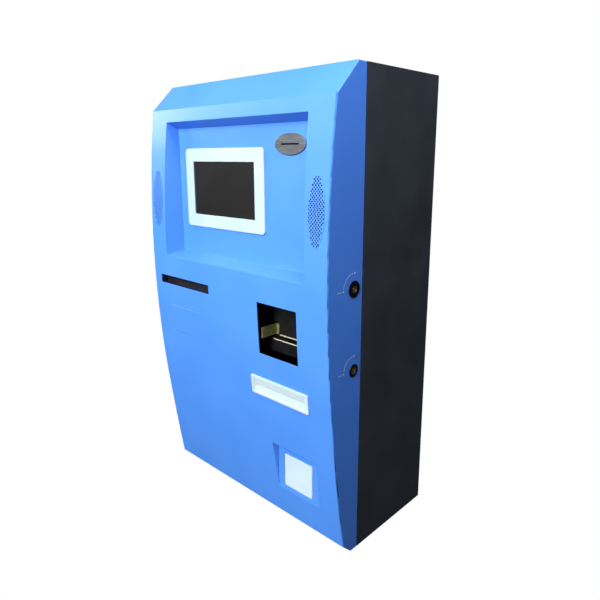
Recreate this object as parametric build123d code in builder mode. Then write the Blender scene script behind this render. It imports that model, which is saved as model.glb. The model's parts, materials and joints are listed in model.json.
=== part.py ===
from build123d import *
import math
import os

# Wall-hung parking pay station: a charcoal sheet-steel cabinet closed by a deep blue door that
# is hinged on its left and holds every device the customer uses.
# Millimetres. X runs across the machine, Y runs towards the wall and Z runs up. The origin lies
# under the middle of the machine, level with its lower edge.

# ---------------------------------------------------------------- overall sizes
HEIGHT = 1120.0
WIDTH = 650.0
CABINET_DEPTH = 280.0
DOOR_DEPTH = 118.0
SHEET = 2.0
SHADOW_GAP = 2.5
RETURN_FLANGE = 18.0
DOOR_EDGE_RADIUS = 3.0
CABINET_EDGE_RADIUS = 2.0

# ---------------------------------------------------------------- fits and clearances
RUNNING_FIT = 0.05
LOOSE_FIT = 0.3
SCREW_FIT = 0.1
SEAL_CLEARANCE = 0.4
SEAL_INSET = 4.0
SEAL_WIDTH = 12.0

# ---------------------------------------------------------------- side outline of the door
# Each depth is measured ahead of the plane where the door meets the cabinet.
TOP_LIP = 28.0
BEVEL_DROP = 67.0
BEVEL_DEPTH = 94.6
BELLY_HEIGHT = 682.0
WAIST_HEIGHT = 313.5
WAIST_DEPTH = 95.0
FOOT_HEIGHT = 28.0
FOOT_DEPTH = 54.0
TOE_DEPTH = 24.0

# ---------------------------------------------------------------- screen recess
RECESS_SIDE_MARGIN = 79.0
RECESS_TOP_MARGIN = 114.0
RECESS_HEIGHT = 326.0
RECESS_FLOOR_DEPTH = 66.5
RECESS_SIDE_FLARE = 14.0
RECESS_TOP_FLARE = 25.7
RECESS_SILL_FLARE = 11.0

# ---------------------------------------------------------------- screen
SCREEN_X = -63.0
SCREEN_BELOW_RECESS_TOP = 152.5
SCREEN_WIDTH = 238.0
SCREEN_HEIGHT = 136.0
BEZEL_BORDER = 33.0
BEZEL_THICKNESS = 4.5
BEZEL_CORNER = 11.0
BEZEL_EDGE_RADIUS = 2.0
GLASS_THICKNESS = 2.0
GLASS_OVERLAP = 4.0
LCD_THICKNESS = 14.0
LCD_CRADLE_BORDER = 16.0
LCD_CRADLE_SHEET = 1.5

# ---------------------------------------------------------------- card reader
CARD_X = 172.0
CARD_BELOW_RECESS_TOP = 46.0
CARD_BEZEL_WIDTH = 95.0
CARD_BEZEL_HEIGHT = 48.0
CARD_BEZEL_THICKNESS = 3.0
CARD_SLOT_WIDTH = 56.0
CARD_SLOT_HEIGHT = 3.0
CARD_READER_WIDTH = 76.0
CARD_READER_HEIGHT = 34.0
CARD_READER_DEPTH = 92.0

# ---------------------------------------------------------------- speakers
SPEAKER_FROM_FLANK = 35.0
SPEAKER_BELOW_RECESS_TOP = 182.0
GRILLE_WIDTH = 46.0
GRILLE_HEIGHT = 150.0
SPEAKER_WIDTH = 48.0
SPEAKER_HEIGHT = 152.0
SPEAKER_DISH = 3.0
MAGNET_RADIUS = 17.0
MAGNET_DEPTH = 20.0

# ---------------------------------------------------------------- printer
PAPER_SLOT_X = -185.0
PAPER_SLOT_Z = 601.0
PAPER_SLOT_WIDTH = 215.5
PAPER_SLOT_HEIGHT = 24.0
CHUTE_WALL = 3.0
CHUTE_BACK_DEPTH = 97.0
PLATEN_RADIUS = 12.0
PLATEN_DEPTH = 78.0
PLATEN_Z = 582.0
PLATEN_SHAFT_RADIUS = 4.0
PRINT_HEAD_HEIGHT = 44.0
PRINT_HEAD_BACK_DEPTH = 52.0
ROLL_RADIUS = 46.0
ROLL_FRONT_DEPTH = 104.0
ROLL_Z = 470.0
SPINDLE_RADIUS = 12.5
SPINDLE_END_RADIUS = 6.0
ROLL_END_GAP = 9.0

# ---------------------------------------------------------------- service plate under the slot
SERVICE_PLATE_X = -194.0
SERVICE_PLATE_Z = 492.5
SERVICE_PLATE_WIDTH = 134.0
SERVICE_PLATE_HEIGHT = 77.0
SERVICE_PLATE_GAP = 0.5
CLIP_WIDTH = 12.0
CLIP_SHEET = 1.0

# ---------------------------------------------------------------- banknote acceptor
NOTE_X = 170.0
NOTE_Z = 539.5
NOTE_OPENING = 128.0
NOTE_BODY_WIDTH = 140.0
NOTE_BODY_HEIGHT = 136.0
NOTE_BACK_DEPTH = 6.0
NOTE_FACE_DEPTH = 54.0
NOTE_NOSE_DEPTH = 67.0
NOTE_SLOT_Z = 507.0
NOTE_SLOT_HEIGHT = 6.0
NOTE_SLOT_WIDTH = 84.0
NOTE_SLOT_X = 162.0
NOTE_LIP = 2.0
GUIDE_BRACKET_DEPTH = 104.0
GUIDE_BRACKET_HEIGHT = 26.0
CASSETTE_WIDTH = 122.0
CASSETTE_HEIGHT = 230.0
CASSETTE_DEPTH = 62.0
CASSETTE_EDGE_RADIUS = 3.0
CASSETTE_GAP = 1.0
CASSETTE_HANDLE = 6.0
CRADLE_SHEET = 3.0

# ---------------------------------------------------------------- ticket slot
TICKET_X = 165.0
TICKET_Z = 388.0
TICKET_BEZEL_WIDTH = 189.5
TICKET_BEZEL_HEIGHT = 48.5
TICKET_RIM = 6.0
TICKET_RIM_HEIGHT = 3.0
TICKET_FIELD_HEIGHT = 1.6
TICKET_GROOVE_WIDTH = 154.0
TICKET_GROOVE_HEIGHT = 1.4
TICKET_FUNNEL_WIDTH = 170.0
TICKET_FUNNEL_HEIGHT = 32.0
TICKET_FUNNEL_DROP = 2.0
TICKET_SPIGOT_WIDTH = 174.0
TICKET_SPIGOT_HEIGHT = 35.0
TICKET_READER_FRONT = 96.0
TICKET_READER_BACK = 12.0
TICKET_READER_HEIGHT = 42.0

# ---------------------------------------------------------------- coin return
FLAP_X = 190.0
FLAP_Z = 164.0
FLAP_WIDTH = 93.0
FLAP_HEIGHT = 87.5
FLAP_THICKNESS = 3.0
FLAP_GAP = 1.0
FLAP_BARREL_RADIUS = 4.0
FLAP_PIN_RADIUS = 2.0
FLAP_PIN_DROP = 6.0
FLAP_BARREL_SINK = 1.0
SCOOP_X = 192.5
SCOOP_DEPTH = 66.5
SCOOP_WIDTH = 137.0
SCOOP_TOP_Z = 231.0
SCOOP_BOTTOM_Z = 60.0
SCOOP_FLARE = 16.0
CUP_WALL = 1.5
CUP_SIDE_ROOM = 3.0
CUP_HEAD_ROOM = 7.0
CUP_SILL_ROOM = 5.0
CUP_BEHIND_JOINT = 34.0

# ---------------------------------------------------------------- ribs that carry the devices
RIB_SHEET = 2.0
RIB_BACK_DEPTH = 14.0
RIB_TOP_Z = 658.0
PRINTER_RIB_BOTTOM_Z = 410.0
NOTE_RIB_BOTTOM_Z = 345.0
PRINTER_BAY_LEFT = -302.0
PRINTER_BAY_RIGHT = -68.0
NOTE_BAY_LEFT = 78.0
NOTE_BAY_RIGHT = 262.0

# ---------------------------------------------------------------- locks in the right flank
UPPER_LOCK_Z = 655.0
UPPER_LOCK_DEPTH = 31.0
UPPER_LOCK_FACE_RADIUS = 19.0
LOWER_LOCK_Z = 468.0
LOWER_LOCK_DEPTH = 28.0
LOWER_LOCK_FACE_RADIUS = 15.0
LOCK_FACE_HEIGHT = 1.5
LOCK_BODY_RADIUS = 11.0
LOCK_BODY_LENGTH = 24.0
LOCK_PLUG_RADIUS = 8.0
LOCK_NUT_WALL = 2.0
LOCK_NUT_THICKNESS = 5.0
KEYWAY_OUTER_RADIUS = 5.0
KEYWAY_INNER_RADIUS = 3.4
KEYWAY_DEPTH = 6.0
PLUG_RECESS = 0.5
PLUG_TAIL = 8.0
HOOK_REACH = 39.0
HOOK_WIDTH = 16.0
HOOK_THICKNESS = 3.0
HOOK_BOSS_RADIUS = 10.0
KEEPER_PIN_RADIUS = 3.0
KEEPER_PIN_CLEARANCE = 0.6
KEEPER_SHEET = 3.0
KEEPER_HEIGHT = 30.0

# ---------------------------------------------------------------- hinges on the left flank
HINGE_LEVELS = (150.0, HEIGHT / 2, HEIGHT - 150.0)
HINGE_LENGTH = 80.0
HINGE_KNUCKLES = 5
HINGE_KNUCKLE_RADIUS = 4.0
HINGE_PIN_RADIUS = 2.5
HINGE_LEAF = 30.0
HINGE_LEAF_THICKNESS = 2.0
HINGE_SCREW_RADIUS = 2.0
HINGE_SCREW_HEAD_RADIUS = 4.2
HINGE_SCREW_HEAD_HEIGHT = 1.6
HINGE_SCREW_SPACING = 48.0

# ---------------------------------------------------------------- wall fixing and services
WALL_BOLT_SPACING_X = 450.0
WALL_BOLT_SPACING_Z = 860.0
WALL_BOLT_HOLE_RADIUS = 5.5
DOUBLER_SIZE = 60.0
DOUBLER_THICKNESS = 4.0
GLAND_X = -150.0
GLAND_FROM_WALL = 60.0
GLAND_HOLE_RADIUS = 12.7
GLAND_BORE_RADIUS = 7.0
GLAND_FLANGE_RADIUS = 17.0
GLAND_FLANGE_THICKNESS = 4.0
GLAND_DOME_HEIGHT = 18.0
GLAND_DOME_EDGE = 3.0
VENT_SLOT_LENGTH = 90.0
VENT_SLOT_WIDTH = 4.0
VENT_SLOT_PITCH = 12.0
VENT_SLOT_COUNT = 10
VENT_FROM_TOP = 120.0

# ---------------------------------------------------------------- equipment on the back plate
PLATE_WIDTH = 380.0
PLATE_HEIGHT = 820.0
PLATE_SHEET = 2.0
STANDOFF_LENGTH = 15.0
STANDOFF_RADIUS = 5.0
STANDOFF_SPACING_X = 356.0
STANDOFF_SPACING_Z = 380.0
PLATE_SCREW_RADIUS = 2.5
PLATE_SCREW_HEAD_RADIUS = 4.5
PLATE_SCREW_HEAD_HEIGHT = 3.0
COMPUTER_X = -60.0
COMPUTER_ABOVE_MIDDLE = 240.0
COMPUTER_WIDTH = 210.0
COMPUTER_HEIGHT = 170.0
COMPUTER_DEPTH = 48.0
COMPUTER_FIN_COUNT = 13
COMPUTER_FIN_HEIGHT = 10.0
COMPUTER_FIN_THICKNESS = 3.0
SUPPLY_X = -60.0
SUPPLY_ABOVE_MIDDLE = 80.0
SUPPLY_WIDTH = 215.0
SUPPLY_HEIGHT = 115.0
SUPPLY_DEPTH = 50.0
SUPPLY_STEP = 18.0
RAIL_X = -60.0
RAIL_BELOW_MIDDLE = 180.0
RAIL_LENGTH = 220.0
RAIL_HEIGHT = 35.0
RAIL_DEPTH = 7.5
RAIL_CROWN = 25.0
RAIL_SHEET = 1.0
BREAKER_X = -130.0
BREAKER_WIDTH = 36.0
BREAKER_HEIGHT = 85.0
BREAKER_DEPTH = 50.0
BREAKER_NOSE_HEIGHT = 45.0
BREAKER_NOSE_DEPTH = 16.0
TOGGLE_RADIUS = 7.0
TOGGLE_WIDTH = 26.0
TOGGLE_LENGTH = 15.0
TOGGLE_POCKET_GAP = 1.0
TERMINAL_X = -20.0
TERMINAL_COUNT = 10
TERMINAL_PITCH = 8.0
TERMINAL_HEIGHT = 50.0
TERMINAL_DEPTH = 40.0
DUCT_X = 130.0
DUCT_WIDTH = 40.0
DUCT_LENGTH = 700.0
DUCT_DEPTH = 45.0
DUCT_WALL = 2.0
DUCT_SLOT_WIDTH = 6.0
DUCT_SLOT_PITCH = 14.0
DUCT_SLOT_COUNT = 48

# ---------------------------------------------------------------- fan in the cabinet floor
FAN_X = 150.0
FAN_FROM_WALL = 110.0
FAN_SIZE = 120.0
FAN_THICKNESS = 25.0
FAN_BORE_RADIUS = 57.0
FAN_WALL_HOLE_RADIUS = 56.0
FAN_HUB_RADIUS = 20.0
FAN_SHAFT_RADIUS = 3.0
FAN_BLADE_RADIUS = 54.0
FAN_BLADE_COUNT = 7
FAN_BLADE_CHORD = 20.0
FAN_BLADE_PITCH = 35.0
FAN_BLADE_SINK = 1.0
FAN_STRUT = 5.0
GUARD_WIRE = 2.0
GUARD_RINGS = (14.0, 28.0, 42.0, 56.0)
GUARD_SPOKE_LENGTH = 126.0

# ---------------------------------------------------------------- values that follow from these
HALF_WIDTH = WIDTH / 2
WALL_Y = (CABINET_DEPTH + DOOR_DEPTH) / 2
JOINT_Y = WALL_Y - CABINET_DEPTH
DOOR_BACK_Y = JOINT_Y - SHADOW_GAP
MIDDLE_Z = HEIGHT / 2
COMPUTER_Z = MIDDLE_Z + COMPUTER_ABOVE_MIDDLE
SUPPLY_Z = MIDDLE_Z + SUPPLY_ABOVE_MIDDLE
RAIL_Z = MIDDLE_Z - RAIL_BELOW_MIDDLE
ROLL_DEPTH = ROLL_FRONT_DEPTH - ROLL_RADIUS
LOCK_NUT_RADIUS = (LOCK_BODY_RADIUS + LOCK_NUT_WALL) / math.cos(math.radians(30))
RECESS_TOP_Z = HEIGHT - RECESS_TOP_MARGIN
RECESS_BOTTOM_Z = RECESS_TOP_Z - RECESS_HEIGHT
RECESS_WIDTH = WIDTH - 2 * RECESS_SIDE_MARGIN
SCREEN_Z = RECESS_TOP_Z - SCREEN_BELOW_RECESS_TOP
CARD_Z = RECESS_TOP_Z - CARD_BELOW_RECESS_TOP
SPEAKER_X = HALF_WIDTH - SPEAKER_FROM_FLANK
SPEAKER_Z = RECESS_TOP_Z - SPEAKER_BELOW_RECESS_TOP
HINGE_X = -HALF_WIDTH - HINGE_KNUCKLE_RADIUS
HINGE_Y = JOINT_Y - SHADOW_GAP / 2
CABINET_BACK_INSIDE_Y = WALL_Y - SHEET
PLATE_BACK_Y = CABINET_BACK_INSIDE_Y - STANDOFF_LENGTH
PLATE_FRONT_Y = PLATE_BACK_Y - PLATE_SHEET
GLAND_Y = WALL_Y - GLAND_FROM_WALL
FAN_Y = WALL_Y - FAN_FROM_WALL


def ahead(depth):
    """Y of a plane that stands this far ahead of the joint between door and cabinet."""
    return JOINT_Y - depth


RECESS_FLOOR_Y = ahead(RECESS_FLOOR_DEPTH)
SCOOP_Y = ahead(SCOOP_DEPTH)
BEYOND_DOOR = DOOR_DEPTH + 12.0


def facing(y):
    """Upright plane at this Y that faces the customer: local x is X, local y is Z."""
    return Plane.XZ.offset(-y)


def door_outline(grow=0.0):
    """Side outline of the door as a sketch of Y against Z, grown or shrunk by an offset."""
    with BuildSketch() as outline:
        with BuildLine():
            lip = Line((DOOR_BACK_Y, HEIGHT), (ahead(TOP_LIP), HEIGHT))
            bevel = Line(lip @ 1, (ahead(BEVEL_DEPTH), HEIGHT - BEVEL_DROP))
            belly = ThreePointArc(
                bevel @ 1, (ahead(DOOR_DEPTH), BELLY_HEIGHT), (ahead(WAIST_DEPTH), WAIST_HEIGHT)
            )
            sweep_in = TangentArc(
                belly @ 1, (ahead(FOOT_DEPTH), FOOT_HEIGHT), tangent=belly % 1
            )
            toe = Line(sweep_in @ 1, (ahead(TOE_DEPTH), 0))
            base = Line(toe @ 1, (DOOR_BACK_Y, 0))
            Line(base @ 1, lip @ 0)
        make_face()
        if grow:
            offset(amount=grow, kind=Kind.INTERSECTION)
    return outline.sketch_local


def door_slice(grow, half_width):
    """Solid with the door's side outline, grown by an offset, across the given half width."""
    with BuildPart() as block:
        with BuildSketch(Plane.YZ.offset(-half_width)):
            add(door_outline(grow))
        extrude(amount=2 * half_width)
    return block.part


def front_depth(level):
    """Depth of the door's front at this height."""
    with BuildSketch() as strip:
        add(door_outline())
        with Locations((JOINT_Y, level)):
            Rectangle(2 * BEYOND_DOOR, RUNNING_FIT, mode=Mode.INTERSECT)
    return JOINT_Y - strip.sketch.bounding_box().min.X


def skin_window(inner, outer, window):
    """The layer of the door's front between two offsets, inside a window sketch."""
    with BuildPart() as layer:
        add(door_slice(outer, HALF_WIDTH))
        add(door_slice(inner, HALF_WIDTH + SHEET), mode=Mode.SUBTRACT)
        with BuildSketch(facing(ahead(RIB_BACK_DEPTH))):
            add(window)
        extrude(amount=BEYOND_DOOR, mode=Mode.INTERSECT)
    return layer.part


def flared_block(back_depth, front_depth, width, bottom, top, side, head, sill, middle_x):
    """Block that widens towards the customer, each wall flared by its own angle in degrees."""
    run = front_depth - back_depth
    wider = run * math.tan(math.radians(side))
    higher = run * math.tan(math.radians(head))
    lower = run * math.tan(math.radians(sill))
    with BuildPart() as block:
        with BuildSketch(facing(ahead(back_depth))):
            with Locations((middle_x, (bottom + top) / 2)):
                Rectangle(width, top - bottom)
        with BuildSketch(facing(ahead(front_depth))):
            with Locations((middle_x, (bottom + top + higher - lower) / 2)):
                Rectangle(width + 2 * wider, top - bottom + higher + lower)
        loft()
    return block.part


def recess_block(wall):
    """Space of the screen recess, with the thickness of its walls added."""
    return flared_block(
        RECESS_FLOOR_DEPTH - wall,
        BEYOND_DOOR,
        RECESS_WIDTH + 2 * wall,
        RECESS_BOTTOM_Z - wall,
        RECESS_TOP_Z + wall,
        RECESS_SIDE_FLARE,
        RECESS_TOP_FLARE,
        RECESS_SILL_FLARE,
        0,
    )


def scoop_block(wall):
    """Space of the facet around the coin flap, with the thickness of its walls added."""
    return flared_block(
        SCOOP_DEPTH - wall,
        BEYOND_DOOR,
        SCOOP_WIDTH + 2 * wall,
        SCOOP_BOTTOM_Z,
        SCOOP_TOP_Z + wall,
        SCOOP_FLARE,
        SCOOP_FLARE,
        0,
        SCOOP_X,
    )


def finish(piece, name):
    """Label a finished piece and write it under its node name."""
    piece.part.label = name
    export_step(piece.part, f"parts/{name}.step")


os.makedirs("parts", exist_ok=True)

# Spots shared by the pieces that meet there.
lock_spots = (
    ("upper", UPPER_LOCK_DEPTH, UPPER_LOCK_Z, UPPER_LOCK_FACE_RADIUS),
    ("lower", LOWER_LOCK_DEPTH, LOWER_LOCK_Z, LOWER_LOCK_FACE_RADIUS),
)
hinge_screw_levels = [
    level + side * HINGE_SCREW_SPACING / 2 for level in HINGE_LEVELS for side in (-1, 1)
]
hinge_leaf_edge = HINGE_KNUCKLE_RADIUS + SHADOW_GAP / 2
hinge_screw_reach = (hinge_leaf_edge + HINGE_LEAF) / 2
pillar_spots = [
    (side * STANDOFF_SPACING_X / 2, MIDDLE_Z + row * STANDOFF_SPACING_Z)
    for side in (-1, 1)
    for row in (-1, 0, 1)
]
wall_bolt_spots = [
    (side * WALL_BOLT_SPACING_X / 2, MIDDLE_Z + row * WALL_BOLT_SPACING_Z / 2)
    for side in (-1, 1)
    for row in (-1, 1)
]

# ================================================================ cabinet
# Folded box, open towards the door, with a flange returned inwards around the opening.
with BuildPart() as cabinet_shell:
    with BuildSketch(facing(WALL_Y)):
        with Locations((0, MIDDLE_Z)):
            Rectangle(WIDTH, HEIGHT)
    extrude(amount=CABINET_DEPTH)
    fillet(cabinet_shell.edges().filter_by(Axis.Y), radius=CABINET_EDGE_RADIUS)
    with BuildSketch(facing(CABINET_BACK_INSIDE_Y)):
        with Locations((0, MIDDLE_Z)):
            Rectangle(WIDTH - 2 * SHEET, HEIGHT - 2 * SHEET)
    extrude(amount=CABINET_DEPTH - 2 * SHEET, mode=Mode.SUBTRACT)
    with BuildSketch(facing(JOINT_Y + SHEET)):
        with Locations((0, MIDDLE_Z)):
            Rectangle(WIDTH - 2 * RETURN_FLANGE, HEIGHT - 2 * RETURN_FLANGE)
    extrude(amount=SHEET, mode=Mode.SUBTRACT)
    with BuildSketch(facing(WALL_Y)):
        with Locations(*wall_bolt_spots):
            Circle(WALL_BOLT_HOLE_RADIUS)
    extrude(amount=SHEET, mode=Mode.SUBTRACT)
    with BuildSketch(Plane.XY):
        with Locations((GLAND_X, GLAND_Y)):
            Circle(GLAND_HOLE_RADIUS)
        with Locations((FAN_X, FAN_Y)):
            Circle(FAN_WALL_HOLE_RADIUS)
    extrude(amount=SHEET, mode=Mode.SUBTRACT)
    with BuildSketch(Plane.YZ.offset(-HALF_WIDTH)):
        with Locations((WALL_Y - CABINET_DEPTH / 2, HEIGHT - VENT_FROM_TOP)):
            with GridLocations(0, VENT_SLOT_PITCH, 1, VENT_SLOT_COUNT):
                SlotOverall(VENT_SLOT_LENGTH, VENT_SLOT_WIDTH)
        for level in hinge_screw_levels:
            with Locations((HINGE_Y + hinge_screw_reach, level)):
                Circle(HINGE_SCREW_RADIUS)
    extrude(amount=SHEET, mode=Mode.SUBTRACT)
finish(cabinet_shell, "cabinet_shell")

# Square plates welded behind the wall bolts so that the thin back can carry the machine.
with BuildPart() as doubler_plates:
    with BuildSketch(facing(CABINET_BACK_INSIDE_Y)):
        with Locations(*wall_bolt_spots):
            RectangleRounded(DOUBLER_SIZE, DOUBLER_SIZE, SHEET)
            Circle(WALL_BOLT_HOLE_RADIUS, mode=Mode.SUBTRACT)
    extrude(amount=DOUBLER_THICKNESS)
finish(doubler_plates, "doubler_plates")

# Galvanised plate that carries the equipment, held off the back on six pillars.
with BuildPart() as equipment_plate:
    with BuildSketch(facing(PLATE_BACK_Y)):
        with Locations((0, MIDDLE_Z)):
            RectangleRounded(PLATE_WIDTH, PLATE_HEIGHT, STANDOFF_RADIUS)
        with Locations(*pillar_spots):
            Circle(PLATE_SCREW_RADIUS + SCREW_FIT, mode=Mode.SUBTRACT)
    extrude(amount=PLATE_SHEET)
finish(equipment_plate, "equipment_plate")

with BuildPart() as plate_pillars:
    with BuildSketch(facing(CABINET_BACK_INSIDE_Y)):
        with Locations(*pillar_spots):
            RegularPolygon(STANDOFF_RADIUS, 6)
    extrude(amount=STANDOFF_LENGTH)
    with BuildSketch(facing(CABINET_BACK_INSIDE_Y)):
        with Locations(*pillar_spots):
            Circle(PLATE_SCREW_RADIUS + SCREW_FIT)
    extrude(amount=STANDOFF_LENGTH, mode=Mode.SUBTRACT)
finish(plate_pillars, "plate_pillars")

with BuildPart() as plate_screws:
    with BuildSketch(facing(PLATE_FRONT_Y)):
        with Locations(*pillar_spots):
            Circle(PLATE_SCREW_HEAD_RADIUS)
    extrude(amount=PLATE_SCREW_HEAD_HEIGHT)
    fillet(plate_screws.faces().sort_by(Axis.Y)[0:6].edges(), radius=PLATE_SCREW_HEAD_HEIGHT / 2)
    with BuildSketch(facing(CABINET_BACK_INSIDE_Y)):
        with Locations(*pillar_spots):
            Circle(PLATE_SCREW_RADIUS)
    extrude(amount=STANDOFF_LENGTH + PLATE_SHEET)
finish(plate_screws, "plate_screws")

# Industrial computer in a finned aluminium case.
computer_case_depth = COMPUTER_DEPTH - COMPUTER_FIN_HEIGHT
computer_fin_pitch = (COMPUTER_WIDTH - COMPUTER_FIN_THICKNESS) / (COMPUTER_FIN_COUNT - 1)
with BuildPart() as control_computer:
    with BuildSketch(facing(PLATE_FRONT_Y)):
        with Locations((COMPUTER_X, COMPUTER_Z)):
            Rectangle(COMPUTER_WIDTH, COMPUTER_HEIGHT)
    extrude(amount=computer_case_depth)
    with BuildSketch(facing(PLATE_FRONT_Y - computer_case_depth)):
        with Locations((COMPUTER_X, COMPUTER_Z)):
            with GridLocations(computer_fin_pitch, 0, COMPUTER_FIN_COUNT, 1):
                Rectangle(COMPUTER_FIN_THICKNESS, COMPUTER_HEIGHT)
    extrude(amount=COMPUTER_FIN_HEIGHT)
finish(control_computer, "control_computer")

# Mains power supply in a folded steel case, with its terminal step at the left.
with BuildPart() as power_supply:
    with BuildSketch(facing(PLATE_FRONT_Y)):
        with Locations((SUPPLY_X, SUPPLY_Z)):
            Rectangle(SUPPLY_WIDTH, SUPPLY_HEIGHT)
    extrude(amount=SUPPLY_DEPTH)
    with BuildSketch(facing(PLATE_FRONT_Y - SUPPLY_DEPTH / 2)):
        with Locations((SUPPLY_X - SUPPLY_WIDTH / 2 + SUPPLY_STEP / 2, SUPPLY_Z)):
            Rectangle(SUPPLY_STEP, SUPPLY_HEIGHT)
    extrude(amount=SUPPLY_DEPTH / 2, mode=Mode.SUBTRACT)
finish(power_supply, "power_supply")

# Top-hat rail for the breaker and the terminals.
with BuildPart() as din_rail:
    with BuildSketch(Plane.YZ.offset(RAIL_X - RAIL_LENGTH / 2)):
        with Locations((PLATE_FRONT_Y - RAIL_DEPTH / 2, RAIL_Z)):
            Rectangle(RAIL_DEPTH, RAIL_CROWN)
        with Locations((PLATE_FRONT_Y - RAIL_DEPTH + RAIL_SHEET / 2, RAIL_Z)):
            Rectangle(RAIL_SHEET, RAIL_HEIGHT)
        with Locations((PLATE_FRONT_Y - (RAIL_DEPTH + RAIL_SHEET) / 2, RAIL_Z)):
            Rectangle(RAIL_DEPTH - RAIL_SHEET, RAIL_CROWN - 2 * RAIL_SHEET, mode=Mode.SUBTRACT)
    extrude(amount=RAIL_LENGTH)
finish(din_rail, "din_rail")

rail_front_y = PLATE_FRONT_Y - RAIL_DEPTH
breaker_front_y = rail_front_y - BREAKER_DEPTH
toggle_y = breaker_front_y - BREAKER_NOSE_DEPTH + TOGGLE_RADIUS
toggle_pocket = TOGGLE_RADIUS + TOGGLE_POCKET_GAP
with BuildPart() as circuit_breaker:
    with BuildSketch(facing(rail_front_y)):
        with Locations((BREAKER_X, RAIL_Z)):
            Rectangle(BREAKER_WIDTH, BREAKER_HEIGHT)
    extrude(amount=BREAKER_DEPTH)
    with BuildSketch(facing(breaker_front_y)):
        with Locations((BREAKER_X, RAIL_Z)):
            Rectangle(BREAKER_WIDTH, BREAKER_NOSE_HEIGHT)
    extrude(amount=BREAKER_NOSE_DEPTH)
    with BuildSketch(Plane.YZ.offset(BREAKER_X - TOGGLE_WIDTH / 2 - LOOSE_FIT)):
        with Locations((toggle_y, RAIL_Z)):
            Circle(toggle_pocket)
        with Locations((toggle_y - toggle_pocket, RAIL_Z)):
            Rectangle(2 * toggle_pocket, 2 * toggle_pocket)
    extrude(amount=TOGGLE_WIDTH + 2 * LOOSE_FIT, mode=Mode.SUBTRACT)
finish(circuit_breaker, "circuit_breaker")

with BuildPart() as breaker_toggle:
    with BuildSketch(Plane.YZ.offset(BREAKER_X - TOGGLE_WIDTH / 2)):
        with Locations((toggle_y, RAIL_Z)):
            Circle(TOGGLE_RADIUS)
        with Locations((toggle_y - TOGGLE_LENGTH / 2, RAIL_Z)):
            Rectangle(TOGGLE_LENGTH, TOGGLE_RADIUS)
    extrude(amount=TOGGLE_WIDTH)
finish(breaker_toggle, "breaker_toggle")

# A row of rail terminals, each a slim block with a clamping screw well.
with BuildPart() as terminal_blocks:
    with BuildSketch(facing(rail_front_y)):
        with Locations((TERMINAL_X, RAIL_Z)):
            with GridLocations(TERMINAL_PITCH, 0, TERMINAL_COUNT, 1):
                Rectangle(TERMINAL_PITCH - LOOSE_FIT, TERMINAL_HEIGHT)
    extrude(amount=TERMINAL_DEPTH)
    with BuildSketch(facing(rail_front_y - TERMINAL_DEPTH / 2)):
        with Locations((TERMINAL_X, RAIL_Z)):
            with GridLocations(TERMINAL_PITCH, TERMINAL_HEIGHT / 2, TERMINAL_COUNT, 2):
                Circle(TERMINAL_PITCH / 4)
    extrude(amount=TERMINAL_DEPTH / 2, mode=Mode.SUBTRACT)
finish(terminal_blocks, "terminal_blocks")

# Slotted wiring duct beside the equipment.
with BuildPart() as wiring_duct:
    with BuildSketch(facing(PLATE_FRONT_Y)):
        with Locations((DUCT_X, MIDDLE_Z)):
            Rectangle(DUCT_WIDTH, DUCT_LENGTH)
    extrude(amount=DUCT_DEPTH)
    with BuildSketch(facing(PLATE_FRONT_Y - DUCT_WALL)):
        with Locations((DUCT_X, MIDDLE_Z)):
            Rectangle(DUCT_WIDTH - 2 * DUCT_WALL, DUCT_LENGTH)
    extrude(amount=DUCT_DEPTH - DUCT_WALL, mode=Mode.SUBTRACT)
    with BuildSketch(Plane.YZ.offset(DUCT_X - DUCT_WIDTH / 2)):
        with Locations((PLATE_FRONT_Y - DUCT_DEPTH / 2 - DUCT_WALL, MIDDLE_Z)):
            with GridLocations(0, DUCT_SLOT_PITCH, 1, DUCT_SLOT_COUNT):
                Rectangle(DUCT_DEPTH - 5 * DUCT_WALL, DUCT_SLOT_WIDTH)
    extrude(amount=DUCT_WIDTH, mode=Mode.SUBTRACT)
finish(wiring_duct, "wiring_duct")

with BuildPart() as duct_lid:
    with BuildSketch(facing(PLATE_FRONT_Y - DUCT_DEPTH)):
        with Locations((DUCT_X, MIDDLE_Z)):
            Rectangle(DUCT_WIDTH + 2 * DUCT_WALL, DUCT_LENGTH)
    extrude(amount=DUCT_WALL)
finish(duct_lid, "duct_lid")

# Gland for the mains cable, with its clamping dome and nut inside the floor. It ends flush
# with the underside, because the cable comes up through the wall behind.
gland_height = SHEET + GLAND_FLANGE_THICKNESS + GLAND_DOME_HEIGHT
with BuildPart() as cable_gland:
    with BuildSketch(Plane.XY.offset(SHEET)):
        with Locations((GLAND_X, GLAND_Y)):
            RegularPolygon(GLAND_FLANGE_RADIUS, 6)
    extrude(amount=GLAND_FLANGE_THICKNESS)
    with BuildSketch(Plane.XY):
        with Locations((GLAND_X, GLAND_Y)):
            Circle(GLAND_HOLE_RADIUS - SCREW_FIT)
    extrude(amount=gland_height)
    fillet(cable_gland.faces().sort_by(Axis.Z)[-1].edges(), radius=GLAND_DOME_EDGE)
    with BuildSketch(Plane.XY):
        with Locations((GLAND_X, GLAND_Y)):
            Circle(GLAND_BORE_RADIUS)
    extrude(amount=gland_height, mode=Mode.SUBTRACT)
finish(cable_gland, "cable_gland")

# ---------------------------------------------------------------- fan
with BuildPart() as fan_guard:
    with BuildSketch(Plane.XY.offset(SHEET)):
        with Locations((FAN_X, FAN_Y)):
            for ring in GUARD_RINGS:
                Circle(ring + GUARD_WIRE / 2)
                Circle(ring - GUARD_WIRE / 2, mode=Mode.SUBTRACT)
            for turn in (45, 135):
                SlotOverall(GUARD_SPOKE_LENGTH, GUARD_WIRE, rotation=turn)
    extrude(amount=GUARD_WIRE)
finish(fan_guard, "fan_guard")

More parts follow.
